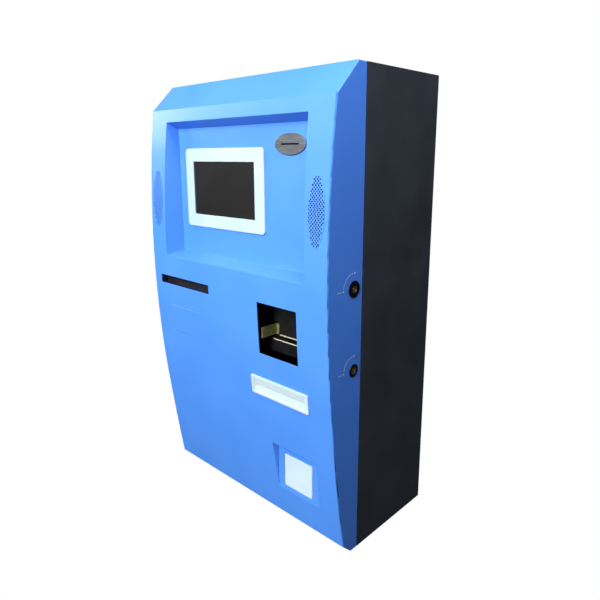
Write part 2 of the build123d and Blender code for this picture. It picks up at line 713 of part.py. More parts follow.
fan_floor_z = SHEET + GUARD_WIRE
with BuildPart() as fan_frame:
    with BuildSketch(Plane.XY.offset(fan_floor_z)):
        with Locations((FAN_X, FAN_Y)):
            RectangleRounded(FAN_SIZE, FAN_SIZE, FAN_STRUT)
            Circle(FAN_BORE_RADIUS, mode=Mode.SUBTRACT)
    extrude(amount=FAN_THICKNESS)
    with BuildSketch(Plane.XY.offset(fan_floor_z)):
        with Locations((FAN_X, FAN_Y)):
            Circle(FAN_HUB_RADIUS)
            Rectangle(FAN_SIZE - FAN_STRUT, FAN_STRUT)
            Rectangle(FAN_STRUT, FAN_SIZE - FAN_STRUT)
    extrude(amount=GUARD_WIRE)
    with BuildSketch(Plane.XY.offset(fan_floor_z)):
        with Locations((FAN_X, FAN_Y)):
            Circle(FAN_SHAFT_RADIUS)
    extrude(amount=FAN_THICKNESS - GUARD_WIRE)
finish(fan_frame, "fan_frame")

fan_rotor_floor_z = fan_floor_z + 2 * GUARD_WIRE
fan_rotor_height = FAN_THICKNESS - 3 * GUARD_WIRE
with BuildPart() as fan_rotor:
    with BuildSketch(Plane.XY.offset(fan_rotor_floor_z)):
        with Locations((FAN_X, FAN_Y)):
            Circle(FAN_HUB_RADIUS)
    extrude(amount=fan_rotor_height)
    for number in range(FAN_BLADE_COUNT):
        turn = math.radians(number * 360 / FAN_BLADE_COUNT)
        outward = Vector(math.cos(turn), math.sin(turn), 0)
        root = Vector(FAN_X, FAN_Y, fan_rotor_floor_z + fan_rotor_height / 2)
        blade_plane = Plane(
            origin=root + outward * (FAN_HUB_RADIUS - FAN_BLADE_SINK),
            x_dir=(-math.sin(turn), math.cos(turn), 0),
            z_dir=outward,
        )
        with BuildSketch(blade_plane):
            SlotOverall(FAN_BLADE_CHORD, GUARD_WIRE, rotation=FAN_BLADE_PITCH)
        extrude(amount=FAN_BLADE_RADIUS - FAN_HUB_RADIUS + FAN_BLADE_SINK)
    with BuildSketch(Plane.XY.offset(fan_rotor_floor_z)):
        with Locations((FAN_X, FAN_Y)):
            Circle(FAN_SHAFT_RADIUS + RUNNING_FIT)
    extrude(amount=fan_rotor_height, mode=Mode.SUBTRACT)
finish(fan_rotor, "fan_rotor")

# ---------------------------------------------------------------- keepers for the lock hooks
hook_x = HALF_WIDTH - LOCK_BODY_LENGTH - 2 * HOOK_THICKNESS
keeper_back_y = JOINT_Y + SHEET
keeper_plate_x = hook_x + HOOK_THICKNESS + KEEPER_SHEET
with BuildPart() as lock_keepers:
    for _, depth, level, _ in lock_spots:
        pin_y = ahead(depth) + HOOK_REACH
        keeper_reach = pin_y + 3 * KEEPER_PIN_RADIUS - keeper_back_y
        with BuildSketch(Plane.XY.offset(level - KEEPER_HEIGHT / 2)):
            with Locations((keeper_plate_x, keeper_back_y)):
                Rectangle(KEEPER_SHEET, keeper_reach, align=(Align.MIN, Align.MIN))
                Rectangle(
                    HALF_WIDTH - SHEET - keeper_plate_x,
                    KEEPER_SHEET,
                    align=(Align.MIN, Align.MIN),
                )
        extrude(amount=KEEPER_HEIGHT)
        with BuildSketch(Plane.YZ.offset(hook_x - KEEPER_SHEET)):
            with Locations((pin_y, level)):
                Circle(KEEPER_PIN_RADIUS)
        extrude(amount=keeper_plate_x + KEEPER_SHEET - hook_x + KEEPER_SHEET)
finish(lock_keepers, "lock_keepers")

# ================================================================ hinges
knuckle_length = HINGE_LENGTH / HINGE_KNUCKLES


def hinge_leaves(side, knuckles, bore_radius):
    """Leaves of the three hinges on one side of the joint: -1 is the door, 1 is the cabinet."""
    leaf_run = HINGE_LEAF - hinge_leaf_edge
    with BuildPart() as leaves:
        for level in HINGE_LEVELS:
            foot = level - HINGE_LENGTH / 2
            with BuildSketch(Plane.XY.offset(foot)):
                with Locations(
                    (
                        -HALF_WIDTH - HINGE_LEAF_THICKNESS / 2,
                        HINGE_Y + side * (hinge_leaf_edge + leaf_run / 2),
                    )
                ):
                    Rectangle(HINGE_LEAF_THICKNESS, leaf_run)
            extrude(amount=HINGE_LENGTH)
            for number in knuckles:
                with BuildSketch(Plane.XY.offset(foot + number * knuckle_length + LOOSE_FIT / 2)):
                    with Locations((HINGE_X, HINGE_Y)):
                        Circle(HINGE_KNUCKLE_RADIUS)
                    with Locations(
                        (
                            -HALF_WIDTH - HINGE_LEAF_THICKNESS / 2,
                            HINGE_Y + side * hinge_leaf_edge / 2,
                        )
                    ):
                        Rectangle(HINGE_LEAF_THICKNESS, hinge_leaf_edge)
                    with Locations((HINGE_X, HINGE_Y)):
                        Circle(bore_radius, mode=Mode.SUBTRACT)
                extrude(amount=knuckle_length - LOOSE_FIT)
        with BuildSketch(Plane.YZ.offset(-HALF_WIDTH - HINGE_LEAF_THICKNESS)):
            for level in hinge_screw_levels:
                with Locations((HINGE_Y + side * hinge_screw_reach, level)):
                    Circle(HINGE_SCREW_RADIUS)
        extrude(amount=HINGE_LEAF_THICKNESS, mode=Mode.SUBTRACT)
    return leaves


def hinge_screws(side):
    """Pan-head screws through the leaves on one side of the joint."""
    with BuildPart() as screws:
        with BuildSketch(Plane.YZ.offset(-HALF_WIDTH - HINGE_LEAF_THICKNESS)):
            for level in hinge_screw_levels:
                with Locations((HINGE_Y + side * hinge_screw_reach, level)):
                    Circle(HINGE_SCREW_HEAD_RADIUS)
        extrude(amount=-HINGE_SCREW_HEAD_HEIGHT)
        with BuildSketch(Plane.YZ.offset(-HALF_WIDTH - HINGE_LEAF_THICKNESS)):
            for level in hinge_screw_levels:
                with Locations((HINGE_Y + side * hinge_screw_reach, level)):
                    Circle(HINGE_SCREW_RADIUS - SCREW_FIT)
        extrude(amount=HINGE_LEAF_THICKNESS + SHEET)
    return screws


finish(hinge_leaves(1, (0, 2, 4), HINGE_PIN_RADIUS), "cabinet_hinge_leaves")
finish(hinge_leaves(-1, (1, 3), HINGE_PIN_RADIUS + RUNNING_FIT), "door_hinge_leaves")
finish(hinge_screws(1), "cabinet_hinge_screws")
finish(hinge_screws(-1), "door_hinge_screws")

with BuildPart() as hinge_pins:
    for level in HINGE_LEVELS:
        with BuildSketch(Plane.XY.offset(level - HINGE_LENGTH / 2)):
            with Locations((HINGE_X, HINGE_Y)):
                Circle(HINGE_PIN_RADIUS)
        extrude(amount=HINGE_LENGTH)
finish(hinge_pins, "hinge_pins")

# ================================================================ door
# Space of the coin facet, which runs out into the curved front at its foot, and the window
# that its pan fills.
with BuildPart() as facet_space:
    add(scoop_block(0))
    add(door_slice(0, HALF_WIDTH), mode=Mode.INTERSECT)
facet_foot_z = facet_space.part.bounding_box().min.Z
with BuildPart() as facet_window:
    add(scoop_block(SHEET))
    split(bisect_by=Plane.XY.offset(facet_foot_z), keep=Keep.TOP)

# Folded front with its flanks. The recess pan and the coin facet are welded into its windows.
with BuildPart() as door_shell:
    add(door_slice(0, HALF_WIDTH))
    flank_edges = door_shell.edges().filter_by_position(Axis.X, HALF_WIDTH - 1, HALF_WIDTH + 1)
    flank_edges += door_shell.edges().filter_by_position(Axis.X, -HALF_WIDTH - 1, 1 - HALF_WIDTH)
    fillet(
        flank_edges.filter_by_position(Axis.Y, -WALL_Y - 1, DOOR_BACK_Y - 1),
        radius=DOOR_EDGE_RADIUS,
    )
    add(door_slice(-SHEET, HALF_WIDTH - SHEET), mode=Mode.SUBTRACT)
    with BuildSketch(facing(DOOR_BACK_Y)):
        with Locations((0, MIDDLE_Z)):
            Rectangle(WIDTH - 2 * RETURN_FLANGE, HEIGHT - 2 * RETURN_FLANGE)
    extrude(amount=SHEET, mode=Mode.SUBTRACT)
    add(recess_block(SHEET), mode=Mode.SUBTRACT)
    add(facet_window.part, mode=Mode.SUBTRACT)
    # Openings through the curved front.
    with BuildSketch(facing(ahead(SCOOP_DEPTH + SHEET))):
        with Locations((PAPER_SLOT_X, PAPER_SLOT_Z)):
            Rectangle(PAPER_SLOT_WIDTH, PAPER_SLOT_HEIGHT)
        with Locations((NOTE_X, NOTE_Z)):
            Rectangle(NOTE_OPENING, NOTE_OPENING)
        with Locations((SERVICE_PLATE_X, SERVICE_PLATE_Z)):
            Rectangle(SERVICE_PLATE_WIDTH, SERVICE_PLATE_HEIGHT)
        with Locations((TICKET_X, TICKET_Z)):
            Rectangle(TICKET_SPIGOT_WIDTH, TICKET_SPIGOT_HEIGHT)
        with Locations((SPEAKER_X, SPEAKER_Z), (-SPEAKER_X, SPEAKER_Z)):
            Ellipse(GRILLE_WIDTH / 2, GRILLE_HEIGHT / 2)
    extrude(amount=BEYOND_DOOR, mode=Mode.SUBTRACT)
    for _, depth, level, _ in lock_spots:
        with BuildSketch(Plane.YZ.offset(HALF_WIDTH - SHEET)):
            with Locations((ahead(depth), level)):
                Circle(LOCK_BODY_RADIUS + SCREW_FIT)
        extrude(amount=SHEET, mode=Mode.SUBTRACT)
    with BuildSketch(Plane.YZ.offset(-HALF_WIDTH)):
        for level in hinge_screw_levels:
            with Locations((HINGE_Y - hinge_screw_reach, level)):
                Circle(HINGE_SCREW_RADIUS)
    extrude(amount=SHEET, mode=Mode.SUBTRACT)
finish(door_shell, "door_shell")

# Pan behind the screen, with windows for the glass and the card slot in its flat floor.
with BuildPart() as recess_pan:
    add(recess_block(SHEET))
    add(door_slice(0, HALF_WIDTH), mode=Mode.INTERSECT)
    add(recess_block(0), mode=Mode.SUBTRACT)
    with BuildSketch(facing(RECESS_FLOOR_Y + SHEET)):
        with Locations((SCREEN_X, SCREEN_Z)):
            Rectangle(SCREEN_WIDTH + 2 * GLASS_OVERLAP, SCREEN_HEIGHT + 2 * GLASS_OVERLAP)
        with Locations((CARD_X, CARD_Z)):
            Rectangle(CARD_SLOT_WIDTH + 2 * SHEET, CARD_SLOT_HEIGHT + 2 * SHEET)
    extrude(amount=SHEET, mode=Mode.SUBTRACT)
finish(recess_pan, "recess_pan")

# Shallow pan around the coin flap, which runs out into the front at its foot.
with BuildPart() as coin_facet:
    add(facet_window.part)
    add(door_slice(0, HALF_WIDTH), mode=Mode.INTERSECT)
    add(scoop_block(0), mode=Mode.SUBTRACT)
    with BuildSketch(facing(SCOOP_Y + SHEET)):
        with Locations((FLAP_X, FLAP_Z)):
            Rectangle(FLAP_WIDTH + 2 * FLAP_GAP, FLAP_HEIGHT + 2 * FLAP_GAP)
    extrude(amount=SHEET, mode=Mode.SUBTRACT)
finish(coin_facet, "coin_facet")

# Foam strip around the back flange of the door.
seal_outer_width = WIDTH - 2 * SEAL_INSET
seal_outer_height = HEIGHT - 2 * SEAL_INSET
with BuildPart() as door_seal:
    with BuildSketch(facing(JOINT_Y - SEAL_CLEARANCE)):
        with Locations((0, MIDDLE_Z)):
            Rectangle(seal_outer_width, seal_outer_height)
            Rectangle(
                seal_outer_width - 2 * SEAL_WIDTH,
                seal_outer_height - 2 * SEAL_WIDTH,
                mode=Mode.SUBTRACT,
            )
    extrude(amount=SHADOW_GAP - SEAL_CLEARANCE)
finish(door_seal, "door_seal")

# Ribs welded to the inside of the door front, scribed to its curve. The devices hang between
# them, and the printer's two carry its rollers.
printer_ribs = (PRINTER_BAY_LEFT - RIB_SHEET, PRINTER_BAY_RIGHT)
note_ribs = (NOTE_BAY_LEFT - RIB_SHEET, NOTE_BAY_RIGHT)
with BuildPart() as door_ribs:
    for ribs, foot in ((printer_ribs, PRINTER_RIB_BOTTOM_Z), (note_ribs, NOTE_RIB_BOTTOM_Z)):
        for rib_x in ribs:
            with BuildSketch(Plane.YZ.offset(rib_x)):
                add(door_outline(-SHEET))
                with Locations((ahead(RIB_BACK_DEPTH), foot)):
                    Rectangle(
                        BEYOND_DOOR,
                        RIB_TOP_Z - foot,
                        align=(Align.MAX, Align.MIN),
                        mode=Mode.INTERSECT,
                    )
            extrude(amount=RIB_SHEET)
    for rib_x in printer_ribs:
        with BuildSketch(Plane.YZ.offset(rib_x)):
            with Locations((ahead(PLATEN_DEPTH), PLATEN_Z)):
                Circle(PLATEN_SHAFT_RADIUS + RUNNING_FIT)
            with Locations((ahead(ROLL_DEPTH), ROLL_Z)):
                Circle(SPINDLE_END_RADIUS)
        extrude(amount=RIB_SHEET, mode=Mode.SUBTRACT)
finish(door_ribs, "door_ribs")

# ---------------------------------------------------------------- screen
# Moulded white surround, rebated at the back for the glass.
glass_width = SCREEN_WIDTH + 2 * GLASS_OVERLAP
glass_height = SCREEN_HEIGHT + 2 * GLASS_OVERLAP
with BuildPart() as screen_bezel:
    with BuildSketch(facing(RECESS_FLOOR_Y)):
        with Locations((SCREEN_X, SCREEN_Z)):
            RectangleRounded(
                SCREEN_WIDTH + 2 * BEZEL_BORDER, SCREEN_HEIGHT + 2 * BEZEL_BORDER, BEZEL_CORNER
            )
    extrude(amount=BEZEL_THICKNESS)
    fillet(screen_bezel.faces().sort_by(Axis.Y)[0].edges(), radius=BEZEL_EDGE_RADIUS)
    with BuildSketch(facing(RECESS_FLOOR_Y)):
        with Locations((SCREEN_X, SCREEN_Z)):
            Rectangle(glass_width, glass_height)
    extrude(amount=GLASS_THICKNESS, mode=Mode.SUBTRACT)
    with BuildSketch(facing(RECESS_FLOOR_Y)):
        with Locations((SCREEN_X, SCREEN_Z)):
            RectangleRounded(SCREEN_WIDTH, SCREEN_HEIGHT, BEZEL_EDGE_RADIUS)
    extrude(amount=BEZEL_THICKNESS, mode=Mode.SUBTRACT)
finish(screen_bezel, "screen_bezel")

with BuildPart() as touch_glass:
    with BuildSketch(facing(RECESS_FLOOR_Y)):
        with Locations((SCREEN_X, SCREEN_Z)):
            Rectangle(glass_width - 2 * SCREW_FIT, glass_height - 2 * SCREW_FIT)
    extrude(amount=GLASS_THICKNESS)
finish(touch_glass, "touch_glass")

with BuildPart() as lcd_panel:
    with BuildSketch(facing(RECESS_FLOOR_Y + LCD_THICKNESS)):
        with Locations((SCREEN_X, SCREEN_Z)):
            Rectangle(glass_width - 2 * SCREW_FIT, glass_height - 2 * SCREW_FIT)
    extrude(amount=LCD_THICKNESS)
finish(lcd_panel, "lcd_panel")

# Folded tray that holds the panel against the back of the recess floor.
cradle_width = glass_width + 2 * LCD_CRADLE_BORDER
cradle_height = glass_height + 2 * LCD_CRADLE_BORDER
cradle_depth = LCD_THICKNESS - SHEET + LCD_CRADLE_SHEET
with BuildPart() as lcd_cradle:
    with BuildSketch(facing(RECESS_FLOOR_Y + SHEET + cradle_depth)):
        with Locations((SCREEN_X, SCREEN_Z)):
            Rectangle(cradle_width, cradle_height)
    extrude(amount=cradle_depth)
    with BuildSketch(facing(RECESS_FLOOR_Y + LCD_THICKNESS)):
        with Locations((SCREEN_X, SCREEN_Z)):
            Rectangle(glass_width, glass_height)
    extrude(amount=cradle_depth, mode=Mode.SUBTRACT)
    with BuildSketch(facing(RECESS_FLOOR_Y + LCD_THICKNESS + LCD_CRADLE_SHEET)):
        with Locations((SCREEN_X, SCREEN_Z)):
            Rectangle(glass_width / 2, glass_height / 2)
    extrude(amount=LCD_CRADLE_SHEET, mode=Mode.SUBTRACT)
finish(lcd_cradle, "lcd_cradle")

# ---------------------------------------------------------------- card reader
with BuildPart() as card_bezel:
    with BuildSketch(facing(RECESS_FLOOR_Y)):
        with Locations((CARD_X, CARD_Z)):
            Ellipse(CARD_BEZEL_WIDTH / 2, CARD_BEZEL_HEIGHT / 2)
    extrude(amount=CARD_BEZEL_THICKNESS)
    fillet(card_bezel.faces().sort_by(Axis.Y)[0].edges(), radius=CARD_BEZEL_THICKNESS / 2)
    with BuildSketch(facing(RECESS_FLOOR_Y)):
        with Locations((CARD_X, CARD_Z)):
            SlotOverall(CARD_SLOT_WIDTH, CARD_SLOT_HEIGHT)
    extrude(amount=CARD_BEZEL_THICKNESS, mode=Mode.SUBTRACT)
finish(card_bezel, "card_bezel")

with BuildPart() as card_reader:
    with BuildSketch(facing(RECESS_FLOOR_Y + SHEET + CARD_READER_DEPTH)):
        with Locations((CARD_X, CARD_Z)):
            RectangleRounded(CARD_READER_WIDTH, CARD_READER_HEIGHT, SHEET)
    extrude(amount=CARD_READER_DEPTH)
    with BuildSketch(facing(RECESS_FLOOR_Y + SHEET + CARD_READER_DEPTH)):
        with Locations((CARD_X, CARD_Z)):
            Rectangle(CARD_SLOT_WIDTH, CARD_SLOT_HEIGHT)
    extrude(amount=CARD_READER_DEPTH, mode=Mode.SUBTRACT)
finish(card_reader, "card_reader")

# ---------------------------------------------------------------- speakers
# Perforated inserts that fill the two oval windows flush with the door front.
with BuildSketch() as grille_windows:
    with Locations((SPEAKER_X, SPEAKER_Z), (-SPEAKER_X, SPEAKER_Z)):
        Ellipse(GRILLE_WIDTH / 2, GRILLE_HEIGHT / 2)
with BuildPart() as speaker_grilles:
    add(skin_window(-SHEET, 0, grille_windows.sketch_local))
finish(speaker_grilles, "speaker_grilles")

# Oval drivers clamped behind the grilles, following the curve of the front.
with BuildSketch() as basket_windows:
    with Locations((SPEAKER_X, SPEAKER_Z), (-SPEAKER_X, SPEAKER_Z)):
        SlotOverall(SPEAKER_HEIGHT, SPEAKER_WIDTH, rotation=90)
with BuildPart() as speakers:
    add(skin_window(-SHEET - SPEAKER_DISH, -SHEET, basket_windows.sketch_local))
    basket_back_y = speakers.faces().sort_by(Axis.Y)[-1].center().Y
    with BuildSketch(facing(basket_back_y + MAGNET_DEPTH)):
        with Locations((SPEAKER_X, SPEAKER_Z), (-SPEAKER_X, SPEAKER_Z)):
            Circle(MAGNET_RADIUS)
    extrude(amount=MAGNET_DEPTH + SPEAKER_DISH / 2)
finish(speakers, "speakers")

# ---------------------------------------------------------------- printer
with BuildSketch() as chute_ring:
    with Locations((PAPER_SLOT_X, PAPER_SLOT_Z)):
        Rectangle(PAPER_SLOT_WIDTH + 2 * CHUTE_WALL, PAPER_SLOT_HEIGHT + 2 * CHUTE_WALL)
        Rectangle(PAPER_SLOT_WIDTH, PAPER_SLOT_HEIGHT, mode=Mode.SUBTRACT)
with BuildPart() as paper_chute:
    with BuildSketch(facing(ahead(CHUTE_BACK_DEPTH))):
        add(chute_ring.sketch_local)
    extrude(amount=BEYOND_DOOR)
    add(door_slice(-SHEET, HALF_WIDTH), mode=Mode.INTERSECT)
finish(paper_chute, "paper_chute")

bay_width = PRINTER_BAY_RIGHT - PRINTER_BAY_LEFT
with BuildPart() as print_head:
    with BuildSketch(Plane.YZ.offset(PRINTER_BAY_LEFT)):
        with Locations((ahead(CHUTE_BACK_DEPTH), PAPER_SLOT_Z + PRINT_HEAD_HEIGHT / 2)):
            Rectangle(
                CHUTE_BACK_DEPTH - PRINT_HEAD_BACK_DEPTH,
                PRINT_HEAD_HEIGHT,
                align=(Align.MIN, Align.MAX),
            )
        with Locations((ahead(PLATEN_DEPTH), PLATEN_Z)):
            Circle(PLATEN_RADIUS + LOOSE_FIT, mode=Mode.SUBTRACT)
            Rectangle(
                2 * (PLATEN_RADIUS + LOOSE_FIT),
                PLATEN_Z,
                align=(Align.CENTER, Align.MAX),
                mode=Mode.SUBTRACT,
            )
    extrude(amount=bay_width)
finish(print_head, "print_head")

with BuildPart() as platen_roller:
    with BuildSketch(Plane.YZ.offset(PRINTER_BAY_LEFT - RIB_SHEET)):
        with Locations((ahead(PLATEN_DEPTH), PLATEN_Z)):
            Circle(PLATEN_SHAFT_RADIUS)
    extrude(amount=bay_width + 2 * RIB_SHEET)
    with BuildSketch(Plane.YZ.offset(PRINTER_BAY_LEFT + ROLL_END_GAP)):
        with Locations((ahead(PLATEN_DEPTH), PLATEN_Z)):
            Circle(PLATEN_RADIUS)
    extrude(amount=bay_width - 2 * ROLL_END_GAP)
finish(platen_roller, "platen_roller")

with BuildPart() as roll_spindle:
    with BuildSketch(Plane.YZ.offset(PRINTER_BAY_LEFT - RIB_SHEET)):
        with Locations((ahead(ROLL_DEPTH), ROLL_Z)):
            Circle(SPINDLE_END_RADIUS)
    extrude(amount=bay_width + 2 * RIB_SHEET)
    with BuildSketch(Plane.YZ.offset(PRINTER_BAY_LEFT)):
        with Locations((ahead(ROLL_DEPTH), ROLL_Z)):
            Circle(SPINDLE_RADIUS)
    extrude(amount=bay_width)
finish(roll_spindle, "roll_spindle")

with BuildPart() as paper_roll:
    with BuildSketch(Plane.YZ.offset(PRINTER_BAY_LEFT + ROLL_END_GAP)):
        with Locations((ahead(ROLL_DEPTH), ROLL_Z)):
            Circle(ROLL_RADIUS)
            Circle(SPINDLE_RADIUS + RUNNING_FIT, mode=Mode.SUBTRACT)
    extrude(amount=bay_width - 2 * ROLL_END_GAP)
finish(paper_roll, "paper_roll")

# ---------------------------------------------------------------- service plate
with BuildSketch() as service_window:
    with Locations((SERVICE_PLATE_X, SERVICE_PLATE_Z)):
        Rectangle(
            SERVICE_PLATE_WIDTH - 2 * SERVICE_PLATE_GAP,
            SERVICE_PLATE_HEIGHT - 2 * SERVICE_PLATE_GAP,
        )
with BuildPart() as service_plate:
    add(skin_window(-SHEET, 0, service_window.sketch_local))
finish(service_plate, "service_plate")

# Two bars spot-welded behind the plate's short edges that clip it into its window.
with BuildSketch() as clip_windows:
    with Locations(
        (SERVICE_PLATE_X - SERVICE_PLATE_WIDTH / 2, SERVICE_PLATE_Z),
        (SERVICE_PLATE_X + SERVICE_PLATE_WIDTH / 2, SERVICE_PLATE_Z),
    ):
        Rectangle(CLIP_WIDTH, SERVICE_PLATE_HEIGHT - CLIP_WIDTH)
with BuildPart() as service_plate_clips:
    add(skin_window(-SHEET - CLIP_SHEET, -SHEET, clip_windows.sketch_local))
finish(service_plate_clips, "service_plate_clips")

# ---------------------------------------------------------------- banknote acceptor
note_body_bottom = NOTE_Z - NOTE_BODY_HEIGHT / 2
note_slot_floor = NOTE_SLOT_Z - NOTE_SLOT_HEIGHT / 2
note_slot_roof = NOTE_SLOT_Z + NOTE_SLOT_HEIGHT / 2
with BuildPart() as note_validator:
    with BuildSketch(facing(ahead(NOTE_BACK_DEPTH))):
        with Locations((NOTE_X, NOTE_Z)):
            Rectangle(NOTE_BODY_WIDTH, NOTE_BODY_HEIGHT)
    extrude(amount=NOTE_FACE_DEPTH - NOTE_BACK_DEPTH)
    with BuildSketch(facing(ahead(NOTE_FACE_DEPTH))):
        with Locations((NOTE_X, note_body_bottom)):
            Rectangle(
                NOTE_BODY_WIDTH,
                note_slot_floor - note_body_bottom,
                align=(Align.CENTER, Align.MIN),
            )
    extrude(amount=NOTE_NOSE_DEPTH - NOTE_FACE_DEPTH)
    with BuildSketch(facing(ahead(NOTE_BACK_DEPTH))):
        with Locations((NOTE_SLOT_X, NOTE_SLOT_Z)):
            Rectangle(NOTE_SLOT_WIDTH, NOTE_SLOT_HEIGHT)
    extrude(amount=NOTE_FACE_DEPTH - NOTE_BACK_DEPTH, mode=Mode.SUBTRACT)
finish(note_validator, "note_validator")

# Bright steel lips at the floor and roof of the slot.
with BuildPart() as note_lips:
    with BuildSketch(facing(ahead(NOTE_NOSE_DEPTH))):
        with Locations((NOTE_SLOT_X, note_slot_floor)):
            Rectangle(NOTE_SLOT_WIDTH + 8 * NOTE_LIP, NOTE_LIP, align=(Align.CENTER, Align.MAX))
    extrude(amount=NOTE_LIP)
    with BuildSketch(facing(ahead(NOTE_FACE_DEPTH))):
        with Locations((NOTE_SLOT_X, note_slot_roof)):
            Rectangle(NOTE_SLOT_WIDTH, NOTE_LIP, align=(Align.CENTER, Align.MIN))
    extrude(amount=NOTE_LIP)
finish(note_lips, "note_lips")

# Angle bracket that guides a note's left edge in the mouth.
note_left = NOTE_X - NOTE_OPENING / 2
with BuildPart() as note_guide_bracket:
    with BuildSketch(Plane.XY.offset(note_slot_roof + NOTE_LIP)):
        with Locations((note_left + SHEET, ahead(NOTE_FACE_DEPTH))):
            Rectangle(SHEET, GUIDE_BRACKET_DEPTH - NOTE_FACE_DEPTH, align=(Align.MIN, Align.MAX))
            Rectangle(5 * SHEET, SHEET, align=(Align.MIN, Align.MAX))
    extrude(amount=GUIDE_BRACKET_HEIGHT)
finish(note_guide_bracket, "note_guide_bracket")

# Angles that hang the validator between its two ribs.
with BuildPart() as validator_brackets:
    for low_x, high_x in (
        (NOTE_BAY_LEFT, NOTE_X - NOTE_BODY_WIDTH / 2),
        (NOTE_X + NOTE_BODY_WIDTH / 2, NOTE_BAY_RIGHT),
    ):
        with BuildSketch(facing(ahead(RIB_BACK_DEPTH + 2 * RIB_SHEET))):
            with Locations((low_x, NOTE_Z)):
                Rectangle(
                    high_x - low_x, NOTE_BODY_HEIGHT / 2, align=(Align.MIN, Align.CENTER)
                )
        extrude(amount=RIB_SHEET)
finish(validator_brackets, "validator_brackets")

# Cradle behind the validator, and the steel note box that drops into it from above.
cradle_back_y = ahead(NOTE_BACK_DEPTH) + CRADLE_SHEET
cradle_inside = CASSETTE_WIDTH + 2 * CASSETTE_GAP
cassette_y = cradle_back_y + CASSETTE_GAP
with BuildPart() as cassette_cradle:
    with BuildSketch(facing(cradle_back_y)):
        with Locations((NOTE_X, NOTE_Z)):
            Rectangle(cradle_inside + 2 * CRADLE_SHEET, NOTE_BODY_HEIGHT)
    extrude(amount=CRADLE_SHEET)
    with BuildSketch(Plane.XY.offset(note_body_bottom - CRADLE_SHEET)):
        with Locations((NOTE_X, cradle_back_y - CRADLE_SHEET)):
            Rectangle(
                cradle_inside + 2 * CRADLE_SHEET,
                CASSETTE_DEPTH / 2 + CRADLE_SHEET,
                align=(Align.CENTER, Align.MIN),
            )
    extrude(amount=CRADLE_SHEET)
    with BuildSketch(Plane.XY.offset(note_body_bottom)):
        for side in (-1, 1):
            with Locations(
                (NOTE_X + side * (cradle_inside + CRADLE_SHEET) / 2, cradle_back_y)
            ):
                Rectangle(CRADLE_SHEET, CASSETTE_DEPTH / 2, align=(Align.CENTER, Align.MIN))
    extrude(amount=NOTE_BODY_HEIGHT / 2)
finish(cassette_cradle, "cassette_cradle")

cassette_floor_z = note_body_bottom + LOOSE_FIT
with BuildPart() as note_cassette:
    with BuildSketch(Plane.XY.offset(cassette_floor_z)):
        with Locations((NOTE_X, cassette_y)):
            Rectangle(CASSETTE_WIDTH, CASSETTE_DEPTH, align=(Align.CENTER, Align.MIN))
    extrude(amount=CASSETTE_HEIGHT)
    fillet(note_cassette.edges().filter_by(Axis.Z), radius=CASSETTE_EDGE_RADIUS)
    with BuildSketch(facing(cassette_y + CASSETTE_DEPTH / 2 + CASSETTE_HANDLE / 2)):
        with Locations((NOTE_X, cassette_floor_z + CASSETTE_HEIGHT)):
            Rectangle(CASSETTE_WIDTH / 2, 4 * CASSETTE_HANDLE, align=(Align.CENTER, Align.MIN))
            Rectangle(
                CASSETTE_WIDTH / 2 - 2 * CASSETTE_HANDLE,
                3 * CASSETTE_HANDLE,
                align=(Align.CENTER, Align.MIN),
                mode=Mode.SUBTRACT,
            )
    extrude(amount=CASSETTE_HANDLE)
finish(note_cassette, "note_cassette")

# ---------------------------------------------------------------- ticket slot
with BuildSketch() as ticket_frame:
    with Locations((TICKET_X, TICKET_Z)):
        RectangleRounded(TICKET_BEZEL_WIDTH, TICKET_BEZEL_HEIGHT, TICKET_RIM_HEIGHT)
with BuildSketch() as ticket_dish:
    with Locations((TICKET_X, TICKET_Z)):
        Rectangle(TICKET_BEZEL_WIDTH - 2 * TICKET_RIM, TICKET_BEZEL_HEIGHT - 2 * TICKET_RIM)
# The field is folded inwards to the groove, so that a ticket finds its own way in.
funnel_mouth_z = [TICKET_Z + side * TICKET_FUNNEL_HEIGHT / 2 for side in (-1, 1)]
funnel_floor_y = ahead(front_depth(TICKET_Z) + TICKET_FIELD_HEIGHT - TICKET_FUNNEL_DROP)
with BuildPart() as ticket_bezel:
    with BuildSketch(facing(ahead(TICKET_READER_FRONT))):
        with Locations((TICKET_X, TICKET_Z)):
            Rectangle(
                TICKET_SPIGOT_WIDTH - 2 * LOOSE_FIT, TICKET_SPIGOT_HEIGHT - 2 * LOOSE_FIT
            )
    extrude(amount=BEYOND_DOOR)
    add(door_slice(TICKET_FIELD_HEIGHT, HALF_WIDTH), mode=Mode.INTERSECT)
    add(skin_window(0, TICKET_RIM_HEIGHT, ticket_frame.sketch_local))
    add(
        skin_window(TICKET_FIELD_HEIGHT, BEZEL_THICKNESS, ticket_dish.sketch_local),
        mode=Mode.SUBTRACT,
    )
    with BuildSketch(Plane.YZ.offset(TICKET_X - TICKET_FUNNEL_WIDTH / 2)):
        with BuildLine():
            Polyline(
                (ahead(front_depth(funnel_mouth_z[0]) + TICKET_FIELD_HEIGHT), funnel_mouth_z[0]),
                (funnel_floor_y, TICKET_Z),
                (ahead(front_depth(funnel_mouth_z[1]) + TICKET_FIELD_HEIGHT), funnel_mouth_z[1]),
                (ahead(BEYOND_DOOR), TICKET_Z),
                close=True,
            )
        make_face()
    extrude(amount=TICKET_FUNNEL_WIDTH, mode=Mode.SUBTRACT)
    with BuildSketch(facing(ahead(TICKET_READER_FRONT))):
        with Locations((TICKET_X, TICKET_Z)):
            Rectangle(TICKET_GROOVE_WIDTH, TICKET_GROOVE_HEIGHT)
    extrude(amount=BEYOND_DOOR, mode=Mode.SUBTRACT)
finish(ticket_bezel, "ticket_bezel")

